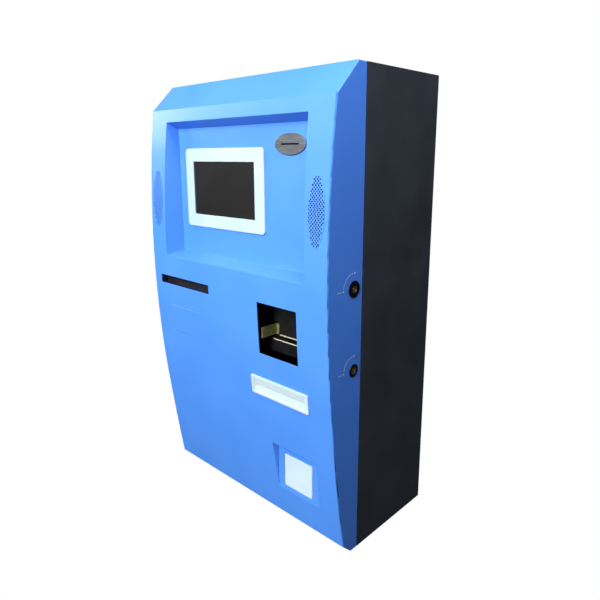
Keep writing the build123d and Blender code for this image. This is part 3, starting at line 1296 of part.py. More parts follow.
note_bay_middle = (NOTE_BAY_LEFT + NOTE_BAY_RIGHT) / 2
note_bay_width = NOTE_BAY_RIGHT - NOTE_BAY_LEFT
with BuildPart() as ticket_reader:
    with BuildSketch(facing(ahead(TICKET_READER_BACK))):
        with Locations((note_bay_middle, TICKET_Z)):
            Rectangle(note_bay_width, TICKET_READER_HEIGHT)
    extrude(amount=TICKET_READER_FRONT - TICKET_READER_BACK)
    with BuildSketch(facing(ahead(TICKET_READER_BACK))):
        with Locations((TICKET_X, TICKET_Z)):
            Rectangle(TICKET_GROOVE_WIDTH, TICKET_GROOVE_HEIGHT)
    extrude(amount=TICKET_READER_FRONT - TICKET_READER_BACK, mode=Mode.SUBTRACT)
finish(ticket_reader, "ticket_reader")

# ---------------------------------------------------------------- coin return
flap_top = FLAP_Z + FLAP_HEIGHT / 2
flap_bottom = FLAP_Z - FLAP_HEIGHT / 2
flap_pin_z = flap_top - FLAP_PIN_DROP
flap_pin_y = SCOOP_Y + FLAP_THICKNESS + FLAP_BARREL_RADIUS - FLAP_BARREL_SINK
cup_front_y = SCOOP_Y + SHEET
cup_depth = JOINT_Y + CUP_BEHIND_JOINT - cup_front_y
cup_inner_width = FLAP_WIDTH + 2 * CUP_SIDE_ROOM
cup_floor_z = flap_bottom - CUP_SILL_ROOM
cup_roof_z = flap_top + CUP_HEAD_ROOM
with BuildPart() as coin_cup:
    with BuildSketch(facing(cup_front_y + cup_depth)):
        with Locations((FLAP_X, cup_floor_z - CUP_WALL)):
            Rectangle(
                cup_inner_width + 2 * CUP_WALL,
                cup_roof_z - cup_floor_z + 2 * CUP_WALL,
                align=(Align.CENTER, Align.MIN),
            )
    extrude(amount=cup_depth)
    with BuildSketch(facing(cup_front_y + cup_depth - CUP_WALL)):
        with Locations((FLAP_X, cup_floor_z)):
            Rectangle(
                cup_inner_width, cup_roof_z - cup_floor_z, align=(Align.CENTER, Align.MIN)
            )
    extrude(amount=cup_depth, mode=Mode.SUBTRACT)
    with BuildSketch(Plane.YZ.offset(FLAP_X - cup_inner_width)):
        with Locations((flap_pin_y, flap_pin_z)):
            Circle(FLAP_PIN_RADIUS)
    extrude(amount=2 * cup_inner_width, mode=Mode.SUBTRACT)
finish(coin_cup, "coin_cup")

with BuildPart() as flap_pin:
    with BuildSketch(Plane.YZ.offset(FLAP_X - cup_inner_width / 2 - CUP_WALL)):
        with Locations((flap_pin_y, flap_pin_z)):
            Circle(FLAP_PIN_RADIUS)
    extrude(amount=cup_inner_width + 2 * CUP_WALL)
finish(flap_pin, "flap_pin")

flap_barrel_length = FLAP_WIDTH - 2 * FLAP_BARREL_RADIUS
with BuildPart() as coin_flap:
    with BuildSketch(facing(SCOOP_Y + FLAP_THICKNESS)):
        with Locations((FLAP_X, FLAP_Z)):
            RectangleRounded(FLAP_WIDTH, FLAP_HEIGHT, FLAP_THICKNESS)
    extrude(amount=FLAP_THICKNESS)
    fillet(coin_flap.faces().sort_by(Axis.Y)[0].edges(), radius=FLAP_THICKNESS / 3)
    with BuildSketch(Plane.YZ.offset(FLAP_X - flap_barrel_length / 2)):
        with Locations((flap_pin_y, flap_pin_z)):
            Circle(FLAP_BARREL_RADIUS)
    extrude(amount=flap_barrel_length)
    with BuildSketch(Plane.YZ.offset(FLAP_X - flap_barrel_length / 2)):
        with Locations((flap_pin_y, flap_pin_z)):
            Circle(FLAP_PIN_RADIUS + RUNNING_FIT)
    extrude(amount=flap_barrel_length, mode=Mode.SUBTRACT)
finish(coin_flap, "coin_flap")

# ---------------------------------------------------------------- locks
# Barrels through the right flank, each clamped by a nut, with a plug that turns in the barrel
# and a hook on the plug's tail that swings up behind the keeper pin.
with BuildPart() as lock_barrels:
    for _, depth, level, face_radius in lock_spots:
        with BuildSketch(Plane.YZ.offset(HALF_WIDTH)):
            with Locations((ahead(depth), level)):
                Circle(face_radius)
        extrude(amount=LOCK_FACE_HEIGHT)
    fillet(lock_barrels.faces().sort_by(Axis.X)[-2:].edges(), radius=LOCK_FACE_HEIGHT / 2)
    for _, depth, level, _ in lock_spots:
        with BuildSketch(Plane.YZ.offset(HALF_WIDTH - LOCK_BODY_LENGTH)):
            with Locations((ahead(depth), level)):
                Circle(LOCK_BODY_RADIUS)
        extrude(amount=LOCK_BODY_LENGTH)
        with BuildSketch(Plane.YZ.offset(HALF_WIDTH - LOCK_BODY_LENGTH)):
            with Locations((ahead(depth), level)):
                Circle(LOCK_PLUG_RADIUS)
        extrude(amount=LOCK_BODY_LENGTH + LOCK_FACE_HEIGHT, mode=Mode.SUBTRACT)
finish(lock_barrels, "lock_barrels")

with BuildPart() as lock_nuts:
    for _, depth, level, _ in lock_spots:
        with BuildSketch(Plane.YZ.offset(HALF_WIDTH - SHEET - LOCK_NUT_THICKNESS)):
            with Locations((ahead(depth), level)):
                RegularPolygon(LOCK_NUT_RADIUS, 6)
                Circle(LOCK_BODY_RADIUS, mode=Mode.SUBTRACT)
        extrude(amount=LOCK_NUT_THICKNESS)
finish(lock_nuts, "lock_nuts")

notch_half = KEEPER_PIN_RADIUS + KEEPER_PIN_CLEARANCE
for name, depth, level, _ in lock_spots:
    with BuildPart() as lock_plug:
        with BuildSketch(Plane.YZ.offset(hook_x + HOOK_THICKNESS)):
            with Locations((ahead(depth), level)):
                Circle(LOCK_PLUG_RADIUS - RUNNING_FIT)
        extrude(amount=HALF_WIDTH + LOCK_FACE_HEIGHT - PLUG_RECESS - hook_x - HOOK_THICKNESS)
        with BuildSketch(Plane.YZ.offset(HALF_WIDTH + LOCK_FACE_HEIGHT - PLUG_RECESS)):
            with Locations((ahead(depth), level)):
                Circle(KEYWAY_OUTER_RADIUS)
                Circle(KEYWAY_INNER_RADIUS, mode=Mode.SUBTRACT)
        extrude(amount=-KEYWAY_DEPTH, mode=Mode.SUBTRACT)
        with BuildSketch(Plane.YZ.offset(hook_x)):
            with Locations((ahead(depth), level)):
                Rectangle(PLUG_TAIL, PLUG_TAIL)
        extrude(amount=HOOK_THICKNESS)
    finish(lock_plug, f"{name}_lock_plug")

    # The hook hangs straight down while the door is free to open. Its notch is part of a ring
    # about the lock's axis, open on the side that leads when the hook turns up to the keeper.
    with BuildPart() as lock_hook:
        with BuildSketch(Plane.YZ.offset(hook_x)):
            with Locations((ahead(depth), level)):
                Circle(HOOK_BOSS_RADIUS)
                Rectangle(
                    HOOK_WIDTH, HOOK_REACH + 3 * KEEPER_PIN_RADIUS, align=(Align.CENTER, Align.MAX)
                )
            with Locations((ahead(depth), level)):
                Rectangle(PLUG_TAIL, PLUG_TAIL, mode=Mode.SUBTRACT)
            with BuildSketch(mode=Mode.SUBTRACT):
                with Locations((ahead(depth), level)):
                    Circle(HOOK_REACH + notch_half)
                    Circle(HOOK_REACH - notch_half, mode=Mode.SUBTRACT)
                with Locations((ahead(depth) - notch_half, level)):
                    Rectangle(
                        HOOK_REACH,
                        2 * HOOK_REACH,
                        align=(Align.MIN, Align.MAX),
                        mode=Mode.INTERSECT,
                    )
        extrude(amount=HOOK_THICKNESS)
    finish(lock_hook, f"{name}_lock_hook")
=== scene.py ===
import json
import math

import bmesh
import bpy
import numpy as np
from mathutils import Matrix, Vector


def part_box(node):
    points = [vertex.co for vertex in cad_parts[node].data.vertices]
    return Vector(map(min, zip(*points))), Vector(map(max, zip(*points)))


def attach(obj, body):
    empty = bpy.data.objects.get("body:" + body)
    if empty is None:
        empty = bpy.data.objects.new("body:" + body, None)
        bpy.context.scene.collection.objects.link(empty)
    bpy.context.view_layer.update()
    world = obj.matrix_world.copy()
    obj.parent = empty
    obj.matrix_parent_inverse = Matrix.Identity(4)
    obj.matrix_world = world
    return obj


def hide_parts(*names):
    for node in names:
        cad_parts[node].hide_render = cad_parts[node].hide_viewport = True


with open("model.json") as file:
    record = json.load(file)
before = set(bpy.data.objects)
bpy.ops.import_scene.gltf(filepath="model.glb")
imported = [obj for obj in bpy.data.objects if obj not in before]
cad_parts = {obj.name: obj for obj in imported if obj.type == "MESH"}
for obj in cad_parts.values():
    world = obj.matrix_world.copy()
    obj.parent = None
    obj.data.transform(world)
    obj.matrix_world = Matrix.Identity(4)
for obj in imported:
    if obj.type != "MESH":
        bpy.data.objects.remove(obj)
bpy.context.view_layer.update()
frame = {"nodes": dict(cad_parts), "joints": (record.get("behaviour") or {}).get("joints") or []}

# ================================================================ camera, light and floor
# The machine is seen from its right and a little above its middle, under a wide soft light
# from the front, in a white studio whose floor lies well below it.
camera_data = bpy.data.cameras.new("camera")
camera_data.lens = 32.53
camera_data.shift_y = -0.0356
camera_data.clip_start = 0.05
camera_data.clip_end = 80.0
camera = bpy.data.objects.new("camera", camera_data)
bpy.context.scene.collection.objects.link(camera)
CAMERA_SPOT = (1.0214, -1.0106, 0.9341)
YAW, PITCH, ROLL = math.radians(43.63), math.radians(12.725), math.radians(-0.2)
camera.matrix_world = (
    Matrix.Translation(CAMERA_SPOT)
    @ Matrix.Rotation(YAW, 4, "Z")
    @ Matrix.Rotation(math.pi / 2 - PITCH, 4, "X")
    @ Matrix.Rotation(ROLL, 4, "Z")
)
bpy.context.scene.camera = camera
bpy.context.scene.view_settings.view_transform = "Standard"


def linear(code):
    """An sRGB hex colour as linear red, green, blue and alpha."""
    levels = [int(code[i : i + 2], 16) / 255 for i in (1, 3, 5)]
    return [v / 12.92 if v <= 0.04045 else ((v + 0.055) / 1.055) ** 2.4 for v in levels] + [1.0]


def add(tree, kind, inputs=None, **settings):
    """Adds a node to a tree. Its inputs are plain values, or the sockets that feed them."""
    made = tree.nodes.new(kind)
    for key, value in settings.items():
        setattr(made, key, value)
    for key, value in (inputs or {}).items():
        if isinstance(value, bpy.types.NodeSocket):
            tree.links.new(value, made.inputs[key])
        else:
            made.inputs[key].default_value = value
    return made


def aim(lamp_object, target):
    """Turns a lamp towards a point."""
    direction = Vector(target) - lamp_object.location
    lamp_object.rotation_euler = direction.to_track_quat("-Z", "Y").to_euler()


# Square lamps, each with its place, its width in metres, its power in watts and its colour.
LIT_SPOT = (0.0, 0.0, 0.6)
for lamp_name, spot, size, power, colour in (
    ("key", (0.3, -3.2, 2.3), 1.8, 192.0, "#FFFEFB"),
    ("side", (1.15, -0.45, 2.25), 0.7, 25.0, "#EAE4FF"),
    ("left", (-3.0, -1.2, 2.0), 1.4, 50.0, "#FFFFFF"),
    ("behind", (-1.2, 3.4, 2.2), 2.0, 60.0, "#F8FBFF"),
):
    lamp = bpy.data.lights.new(lamp_name, "AREA")
    lamp.size = size
    lamp.energy = power
    lamp.color = linear(colour)[:3]
    lamp_object = bpy.data.objects.new(lamp_name, lamp)
    bpy.context.scene.collection.objects.link(lamp_object)
    lamp_object.location = spot
    lamp_object.visible_camera = False
    aim(lamp_object, LIT_SPOT)

# Air and floor are white to the eye. As sources of light the air is dim and the floor is
# near black, so that the corners of the machine keep their depth.
AIR_GLOW = 0.09
world = bpy.data.worlds.new("studio")
world.use_nodes = True
world.node_tree.nodes.clear()
rays = add(world.node_tree, "ShaderNodeLightPath")
strength = add(
    world.node_tree,
    "ShaderNodeMapRange",
    {"Value": rays.outputs["Is Camera Ray"], "To Min": AIR_GLOW, "To Max": 1.0},
)
air = add(
    world.node_tree,
    "ShaderNodeBackground",
    {"Color": (1.0, 1.0, 1.0, 1.0), "Strength": strength.outputs["Result"]},
)
add(world.node_tree, "ShaderNodeOutputWorld", {"Surface": air.outputs["Background"]})
bpy.context.scene.world = world

FLOOR_DROP = 0.9
FLOOR_REACH = 30.0
floor_mesh = bpy.data.meshes.new("floor")
disc = bmesh.new()
bmesh.ops.create_circle(disc, cap_ends=True, segments=64, radius=FLOOR_REACH)
bmesh.ops.translate(disc, verts=disc.verts, vec=(0, 0, -FLOOR_DROP))
disc.to_mesh(floor_mesh)
disc.free()
floor = bpy.data.objects.new("floor", floor_mesh)
bpy.context.scene.collection.objects.link(floor)
paving = bpy.data.materials.new("white studio vinyl")
paving.use_nodes = True
paving.node_tree.nodes.clear()
rays = add(paving.node_tree, "ShaderNodeLightPath")
seen = add(
    paving.node_tree,
    "ShaderNodeEmission",
    {"Color": linear("#FFFFFF"), "Strength": 1.0},
)
vinyl = add(
    paving.node_tree,
    "ShaderNodeBsdfPrincipled",
    {"Base Color": linear("#242424"), "Roughness": 0.85},
)
either = add(
    paving.node_tree,
    "ShaderNodeMixShader",
    {0: rays.outputs["Is Camera Ray"], 1: vinyl.outputs["BSDF"], 2: seen.outputs["Emission"]},
)
add(paving.node_tree, "ShaderNodeOutputMaterial", {"Surface": either.outputs["Shader"]})
floor_mesh.materials.append(paving)


# ================================================================ cabinet
# A box folded from 2 mm mild steel, spot-welded at its corners and powder-coated in a fine
# charcoal texture. Square plates are welded behind its four wall-bolt holes.
MM = 0.001
nodes = frame["nodes"]


def surface(
    name, light, dark, patch, roughness, grain, height,
    metallic=0.0, stretch=(1.0, 1.0, 1.0), edge=None, edge_radius=1.2, coat=0.0, specular=0.5,
):
    """A solid finish. Patches, grain, height and edge radius are millimetres on the surface.

    Broad patches carry the colour from dark to light and the roughness between its two
    values, a fine grain gives the bump, and an edge colour is painted on the turning corners:
    a painted highlight where it is lighter than the finish, painted shade where it is darker."""
    noise_range = {"From Min": 0.3, "From Max": 0.7}
    corner_range = {"From Min": 0.995, "From Max": 0.8}
    painted_edge_strength = 0.75
    material = bpy.data.materials.new(name)
    material.use_nodes = True
    tree = material.node_tree
    tree.nodes.clear()
    place = add(tree, "ShaderNodeTexCoord")
    spread = add(tree, "ShaderNodeMapping", {"Vector": place.outputs["Object"], "Scale": stretch})
    broad = add(
        tree,
        "ShaderNodeTexNoise",
        {"Vector": spread.outputs[0], "Scale": 1 / (patch * MM), "Detail": 4.0},
    )
    fine = add(
        tree,
        "ShaderNodeTexNoise",
        {"Vector": spread.outputs[0], "Scale": 1 / (grain * MM), "Detail": 2.0},
    )
    level = add(
        tree,
        "ShaderNodeMapRange",
        {"Value": broad.outputs["Fac"], **noise_range},
    )
    tint = add(
        tree,
        "ShaderNodeMix",
        {0: level.outputs["Result"], 6: linear(dark), 7: linear(light)},
        data_type="RGBA",
    )
    gloss = add(
        tree,
        "ShaderNodeMapRange",
        {"Value": broad.outputs["Fac"], **noise_range, "To Min": roughness[0],
         "To Max": roughness[1]},
    )
    rounded = add(tree, "ShaderNodeBevel", {"Radius": edge_radius * MM}, samples=6)
    bump = add(
        tree,
        "ShaderNodeBump",
        {"Height": fine.outputs["Fac"], "Distance": height * MM, "Strength": 1.0,
         "Normal": rounded.outputs["Normal"]},
    )
    colour = tint.outputs[2]
    # The edge colour is mixed in where the bevelled normal turns from the true one: a painted highlight
    # along the corners, painted shade where the edge colour is darker than the finish.
    if edge:
        facing = add(tree, "ShaderNodeNewGeometry")
        turned = add(
            tree,
            "ShaderNodeVectorMath",
            {0: facing.outputs["Normal"], 1: rounded.outputs["Normal"]},
            operation="DOT_PRODUCT",
        )
        painted_edge_mask = add(
            tree,
            "ShaderNodeMapRange",
            {"Value": turned.outputs["Value"], **corner_range, "To Min": 0.0,
             "To Max": painted_edge_strength},
        )
        painted_edge_mix = add(
            tree,
            "ShaderNodeMix",
            {0: painted_edge_mask.outputs["Result"], 6: tint.outputs[2], 7: linear(edge)},
            data_type="RGBA",
        )
        colour = painted_edge_mix.outputs[2]
    shader = add(
        tree,
        "ShaderNodeBsdfPrincipled",
        {"Base Color": colour, "Metallic": metallic, "Roughness": gloss.outputs["Result"],
         "Normal": bump.outputs["Normal"], "Coat Weight": coat, "Coat Roughness": 0.15,
         "Specular IOR Level": specular},
    )
    add(tree, "ShaderNodeOutputMaterial", {"Surface": shader.outputs["BSDF"]})
    return material


def paint(material, *names):
    """Gives CAD nodes a finish."""
    for name in names:
        for held in nodes[name].material_slots:
            held.material = material


# Fine-texture powder coat: near black, satin, its grain catching light as a soft grey bloom.
# Its paler edge colour is a painted highlight along the folded corners.
charcoal = surface(
    "charcoal fine-texture powder coat", "#3A4146", "#31383C", 90.0, (0.42, 0.52), 0.9, 0.05,
    edge="#4A5256", edge_radius=1.5,
)
paint(charcoal, "cabinet_shell", "doubler_plates")

# ================================================================ equipment plate
# Galvanised sheet that carries the equipment, held off the cabinet's back on six hexagonal
# pillars of zinc-plated steel. A button-head screw goes through it into each pillar.
galvanised = surface(
    "hot-dip galvanised sheet", "#A9AEB1", "#868C90", 14.0, (0.32, 0.5), 3.0, 0.02, metallic=0.9,
)
zinc = surface(
    "bright zinc plate", "#B9BCBE", "#9A9EA2", 6.0, (0.24, 0.38), 1.2, 0.01, metallic=1.0,
)
paint(galvanised, "equipment_plate")
paint(zinc, "plate_pillars")


def grown(tree, name, start, values):
    """Runs a geometry tree on a start mesh and returns its result as a plain object."""
    seed = bpy.data.objects.new(name + "_seed", start)
    bpy.context.scene.collection.objects.link(seed)
    modifier = seed.modifiers.new("grow", "NODES")
    modifier.node_group = tree
    for item in tree.interface.items_tree:
        if item.in_out == "INPUT" and item.name in values:
            modifier[item.identifier] = values[item.name]
    seed.update_tag()
    seen = bpy.context.evaluated_depsgraph_get()
    made = bpy.data.meshes.new_from_object(seed.evaluated_get(seen))
    made.name = name
    bpy.data.objects.remove(seed)
    piece = bpy.data.objects.new(name, made)
    bpy.context.scene.collection.objects.link(piece)
    return piece


def new_tree(name, inputs):
    """An empty geometry tree with a mesh input, named inputs and a mesh output."""
    tree = bpy.data.node_groups.new(name, "GeometryNodeTree")
    tree.is_modifier = True
    tree.interface.new_socket("Geometry", in_out="INPUT", socket_type="NodeSocketGeometry")
    for label, kind in inputs:
        tree.interface.new_socket(label, in_out="INPUT", socket_type=kind)
    tree.interface.new_socket("Geometry", in_out="OUTPUT", socket_type="NodeSocketGeometry")
    return tree


# Points nearer to each other than this belong to the same screw.
SCREW_REACH = 26.0 * MM


def heads(name):
    """Middle of each separate solid of a CAD node whose solids stand well apart."""
    spots = np.array([v.co for v in nodes[name].data.vertices])
    found = []
    while len(spots):
        near = np.linalg.norm(spots - spots[0], axis=1) < SCREW_REACH
        found.append((spots[near].min(0) + spots[near].max(0)) / 2)
        spots = spots[~near]
    return found


# A button-head screw: a tapered head with a hexagon socket, standing on its own underside.
# The crown and the socket are shares of the head's radius.
CROWN_SHARE = 0.62
SOCKET_SHARE = 0.42
HEAD_SIDES = 24
SHANK_SIDES = 12
screw_tree = new_tree(
    "button screws",
    (
        ("Head Radius", "NodeSocketFloat"),
        ("Head Height", "NodeSocketFloat"),
        ("Shank Radius", "NodeSocketFloat"),
        ("Shank Length", "NodeSocketFloat"),
        ("Turn", "NodeSocketRotation"),
        ("Material", "NodeSocketMaterial"),
    ),
)
given = add(screw_tree, "NodeGroupInput").outputs
head_low = add(
    screw_tree,
    "GeometryNodeMeshCone",
    {"Vertices": HEAD_SIDES, "Radius Bottom": given["Head Radius"],
     "Depth": given["Head Height"]},
)
crown_width = add(
    screw_tree, "ShaderNodeMath", {0: given["Head Radius"], 1: CROWN_SHARE}, operation="MULTIPLY"
)
screw_tree.links.new(crown_width.outputs[0], head_low.inputs["Radius Top"])
socket_width = add(
    screw_tree, "ShaderNodeMath", {0: given["Head Radius"], 1: SOCKET_SHARE}, operation="MULTIPLY"
)
socket_shape = add(
    screw_tree,
    "GeometryNodeMeshCylinder",
    {"Vertices": 6, "Radius": socket_width.outputs[0], "Depth": given["Head Height"]},
)
socket_lift = add(screw_tree, "ShaderNodeCombineXYZ", {"Z": given["Head Height"]})
socket_high = add(
    screw_tree,
    "GeometryNodeTransform",
    {"Geometry": socket_shape.outputs["Mesh"], "Translation": socket_lift.outputs[0]},
)
hollowed = add(
    screw_tree,
    "GeometryNodeMeshBoolean",
    {0: head_low.outputs["Mesh"], 1: socket_high.outputs["Geometry"]},
    operation="DIFFERENCE",
)
shank = add(
    screw_tree,
    "GeometryNodeMeshCylinder",
    {"Vertices": SHANK_SIDES, "Radius": given["Shank Radius"], "Depth": given["Shank Length"]},
)
half_down = add(
    screw_tree, "ShaderNodeMath", {0: given["Shank Length"], 1: -0.5}, operation="MULTIPLY"
)
shank_drop = add(screw_tree, "ShaderNodeCombineXYZ", {"Z": half_down.outputs[0]})
shank_low = add(
    screw_tree,
    "GeometryNodeTransform",
    {"Geometry": shank.outputs["Mesh"], "Translation": shank_drop.outputs[0]},
)
whole = add(screw_tree, "GeometryNodeJoinGeometry")
screw_tree.links.new(hollowed.outputs["Mesh"], whole.inputs[0])
screw_tree.links.new(shank_low.outputs["Geometry"], whole.inputs[0])
set_out = add(
    screw_tree,
    "GeometryNodeInstanceOnPoints",
    {"Points": given["Geometry"], "Instance": whole.outputs[0], "Rotation": given["Turn"]},
)
solid = add(screw_tree, "GeometryNodeRealizeInstances", {"Geometry": set_out.outputs[0]})
plated = add(
    screw_tree,
    "GeometryNodeSetMaterial",
    {"Geometry": solid.outputs[0], "Material": given["Material"]},
)
add(screw_tree, "NodeGroupOutput", {"Geometry": plated.outputs[0]})


def screws(node, body, outward, head_radius, head_height, shank_radius, shank_length):
    """Button-head screws in place of a CAD node's plain ones, heads towards outward."""
    axis = Vector(outward)
    low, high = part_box(node)
    seats = []
    for middle in heads(node):
        spot = Vector(middle)
        k = max(range(3), key=lambda i: abs(axis[i]))
        face = high[k] if axis[k] > 0 else low[k]
        spot[k] = face - axis[k] * head_height / 2
        seats.append(spot)
    start = bpy.data.meshes.new(node + "_spots")
    start.from_pydata(seats, [], [])
    piece = grown(
        screw_tree,
        node + "_heads",
        start,
        {
            "Head Radius": head_radius,
            "Head Height": head_height,
            "Shank Radius": shank_radius,
            "Shank Length": shank_length,
            "Turn": axis.to_track_quat("Z", "Y").to_euler(),
            "Material": zinc,
        },
    )
    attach(piece, body)
    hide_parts(node)


screws(
    "plate_screws", "cabinet", outward=(0, -1, 0),
    head_radius=4.5 * MM, head_height=3.0 * MM, shank_radius=2.5 * MM, shank_length=17.0 * MM,
)

# ================================================================ control computer
# Fanless computer in an extruded aluminium case, anodised black. Deep cooling fins stand on
# its front, and its back lies flat against the equipment plate.
# Its pale edge colour is a painted highlight along the fins and corners.
anodised = surface(
    "black anodised aluminium", "#2A2B2E", "#1B1C1E", 30.0, (0.3, 0.42), 0.8, 0.015,
    metallic=0.6, stretch=(1.0, 1.0, 0.08), edge="#5A5C60", edge_radius=0.5,
)
paint(anodised, "control_computer")

# ================================================================ power supply
# Mains supply in a case folded from bare galvanised steel, flat against the equipment plate.
# The low step at its left is the place for its terminals.
paint(galvanised, "power_supply")

# ================================================================ rail, breaker and terminals
# A zinc-plated top-hat rail holds the mains breaker, moulded in light grey with a black
# toggle, and a row of beige clamp terminals.
# The paler edge colours of these mouldings are painted highlights along their corners.
pale_grey_moulding = surface(
    "light grey glass-filled nylon", "#C9CBCB", "#B9BBBC", 20.0, (0.42, 0.55), 0.7, 0.02,
    edge="#DADCDC",
)
beige_moulding = surface(
    "beige polyamide", "#B5A888", "#A3966F", 12.0, (0.45, 0.6), 0.6, 0.02, edge="#C9BEA2",
)
black_moulding = surface(
    "black moulded ABS", "#1A1B1D", "#121315", 25.0, (0.38, 0.52), 0.7, 0.02, edge="#2C2E31",
    edge_radius=0.6,
)
paint(zinc, "din_rail")
paint(pale_grey_moulding, "circuit_breaker")
paint(black_moulding, "breaker_toggle")
paint(beige_moulding, "terminal_blocks")

# ================================================================ wiring duct and gland
# Slotted trunking of light grey plastic with a snap-on lid, which stands beside the
# equipment, and a black gland that clamps the mains cable in the cabinet's floor.
paint(pale_grey_moulding, "wiring_duct", "duct_lid")
paint(black_moulding, "cable_gland")

# ================================================================ fan
# An axial fan moulded in black plastic, lying on the cabinet's floor over a guard of
# zinc-plated wire rings and spokes.
paint(zinc, "fan_guard")
paint(black_moulding, "fan_frame", "fan_rotor")

# ================================================================ hinges
# Three steel leaf hinges down the left side, powder-coated with the cabinet. They turn on
# zinc-plated pins, and zinc-plated screws hold their leaves.
paint(charcoal, "cabinet_hinge_leaves", "door_hinge_leaves")
paint(zinc, "hinge_pins")
for leaf_screws, carrier in (("cabinet_hinge_screws", "cabinet"), ("door_hinge_screws", "door")):
    screws(
        leaf_screws, carrier, outward=(-1, 0, 0),
        head_radius=4.2 * MM, head_height=1.6 * MM, shank_radius=1.9 * MM, shank_length=4.0 * MM,
    )

# ================================================================ door
# Sheet-steel shell rolled to a long curve, with a welded recess and coin facet, sprayed with
# a smooth satin blue powder coat. The ribs inside it are black, and a strip of foam rubber
# seals its back flange.
BLUE_LIGHT, BLUE_DARK = "#5497F8", "#4E91F4"
# Its paler edge colour is a painted highlight along the door's arrises and folds.
blue = surface(
    "satin blue powder coat", BLUE_LIGHT, BLUE_DARK, 160.0, (0.34, 0.42), 2.2, 0.012,
    edge="#6BADFA", edge_radius=1.0, coat=0.15,
)
paint(blue, "door_shell", "recess_pan", "coin_facet")
# The service plate's brighter edge colour is a painted highlight that outlines the plate.
plate_blue = surface(
    "satin blue powder coat, painted highlight at the edges", BLUE_LIGHT, BLUE_DARK, 160.0, (0.34, 0.42), 2.2,
    0.012, edge="#8CC3FF", edge_radius=2.2, coat=0.15,
)
paint(plate_blue, "service_plate")
black_steel = surface(
    "black satin steel", "#101214", "#0A0B0D", 40.0, (0.4, 0.5), 0.9, 0.03,
)
paint(black_steel, "door_ribs")
rubber = surface("black closed-cell rubber", "#141414", "#0D0D0D", 8.0, (0.75, 0.9), 0.6, 0.08)
paint(rubber, "door_seal")
paint(zinc, "service_plate_clips")

# ================================================================ screen
# Touch glass in a moulded white surround on the floor of the recess. Behind it a folded
# galvanised tray holds the display panel.
# The white mouldings are tinted pale blue as a painted reflection of the blue door, and their white edge
# colour is a painted highlight.
white = surface(
    "white moulded ABS", "#CDE4F1", "#C6DEEC", 60.0, (0.36, 0.46), 0.6, 0.012, edge="#FFFFFF",
    edge_radius=1.2,
)
# The screen's surround takes a greyer, rougher copy of the same blue-tinted white, with a painted
# highlight on its edges.
screen_white = surface(
    "white moulded ABS, matt", "#BFD7E4", "#B8D0DD", 60.0, (0.42, 0.52), 0.6, 0.012,
    edge="#DCEBF4", edge_radius=1.2,
)
paint(screen_white, "screen_bezel")
glass = surface(
    "grey touch glass", "#272727", "#242424", 70.0, (0.16, 0.24), 30.0, 0.0, coat=0.2,
)
paint(glass, "touch_glass")
paint(black_moulding, "lcd_panel")
paint(galvanised, "lcd_cradle")

# ================================================================ card reader
# Motorised reader in a black moulded housing, behind an oval bezel of stainless steel that is
# brushed straight across.
# Its dark edge colour is painted shade on the rounded rim of the oval bezel.
brushed = surface(
    "brushed stainless steel", "#888D92", "#666B71", 1.2, (0.34, 0.5), 0.5, 0.02,
    metallic=0.6, stretch=(0.03, 1.0, 1.0), edge="#2A2E33", edge_radius=1.4,
)
paint(brushed, "card_bezel")
paint(black_moulding, "card_reader")

# ================================================================ speakers
# Oval inserts of thin steel in the door's front, punched with staggered holes and sprayed
# with it, over black paper cones.
GRILLE_HOLE_RADIUS = 2.0 * MM
GRILLE_COLUMN_PITCH = 7.8 * MM
GRILLE_ROW_PITCH = 4.1 * MM
GRILLE_RIM = 2.2 * MM
GRILLE_THICKNESS = 0.8 * MM
GRILLE_SINK = 0.08 * MM
GRILLE_COLUMNS = 9
GRILLE_ROWS = 21
OVAL_SIDES = 72
HOLE_SIDES = 12
WELD_GAP = 0.01 * MM
cone_black = surface(
    "black paper speaker cone", "#08090A", "#040405", 12.0, (0.8, 0.95), 0.5, 0.05,
)
paint(cone_black, "speakers")
sprayed_blue = surface(
    "satin blue powder coat on punched steel", BLUE_LIGHT, BLUE_DARK, 160.0, (0.36, 0.44), 2.2,
    0.008,
)
oval_tree = new_tree(
    "punched ovals",
    (
        ("Half Width", "NodeSocketFloat"),
        ("Half Height", "NodeSocketFloat"),
        ("Rim", "NodeSocketFloat"),
        ("Hole Radius", "NodeSocketFloat"),
        ("Column Pitch", "NodeSocketFloat"),
        ("Row Pitch", "NodeSocketFloat"),
        ("Middle X", "NodeSocketFloat"),
        ("Middle Z", "NodeSocketFloat"),
        ("Bend 2", "NodeSocketFloat"),
        ("Bend 1", "NodeSocketFloat"),
        ("Bend 0", "NodeSocketFloat"),
        ("Thickness", "NodeSocketFloat"),
        ("Material", "NodeSocketMaterial"),
    ),
)
given = add(oval_tree, "NodeGroupInput").outputs
round_edge = add(
    oval_tree, "GeometryNodeCurvePrimitiveCircle", {"Resolution": OVAL_SIDES, "Radius": 1.0}
)
stretch = add(
    oval_tree, "ShaderNodeCombineXYZ", {"X": given["Half Width"], "Y": given["Half Height"]}
)
outline = add(
    oval_tree,
    "GeometryNodeTransform",
    {"Geometry": round_edge.outputs["Curve"], "Scale": stretch.outputs[0]},
)
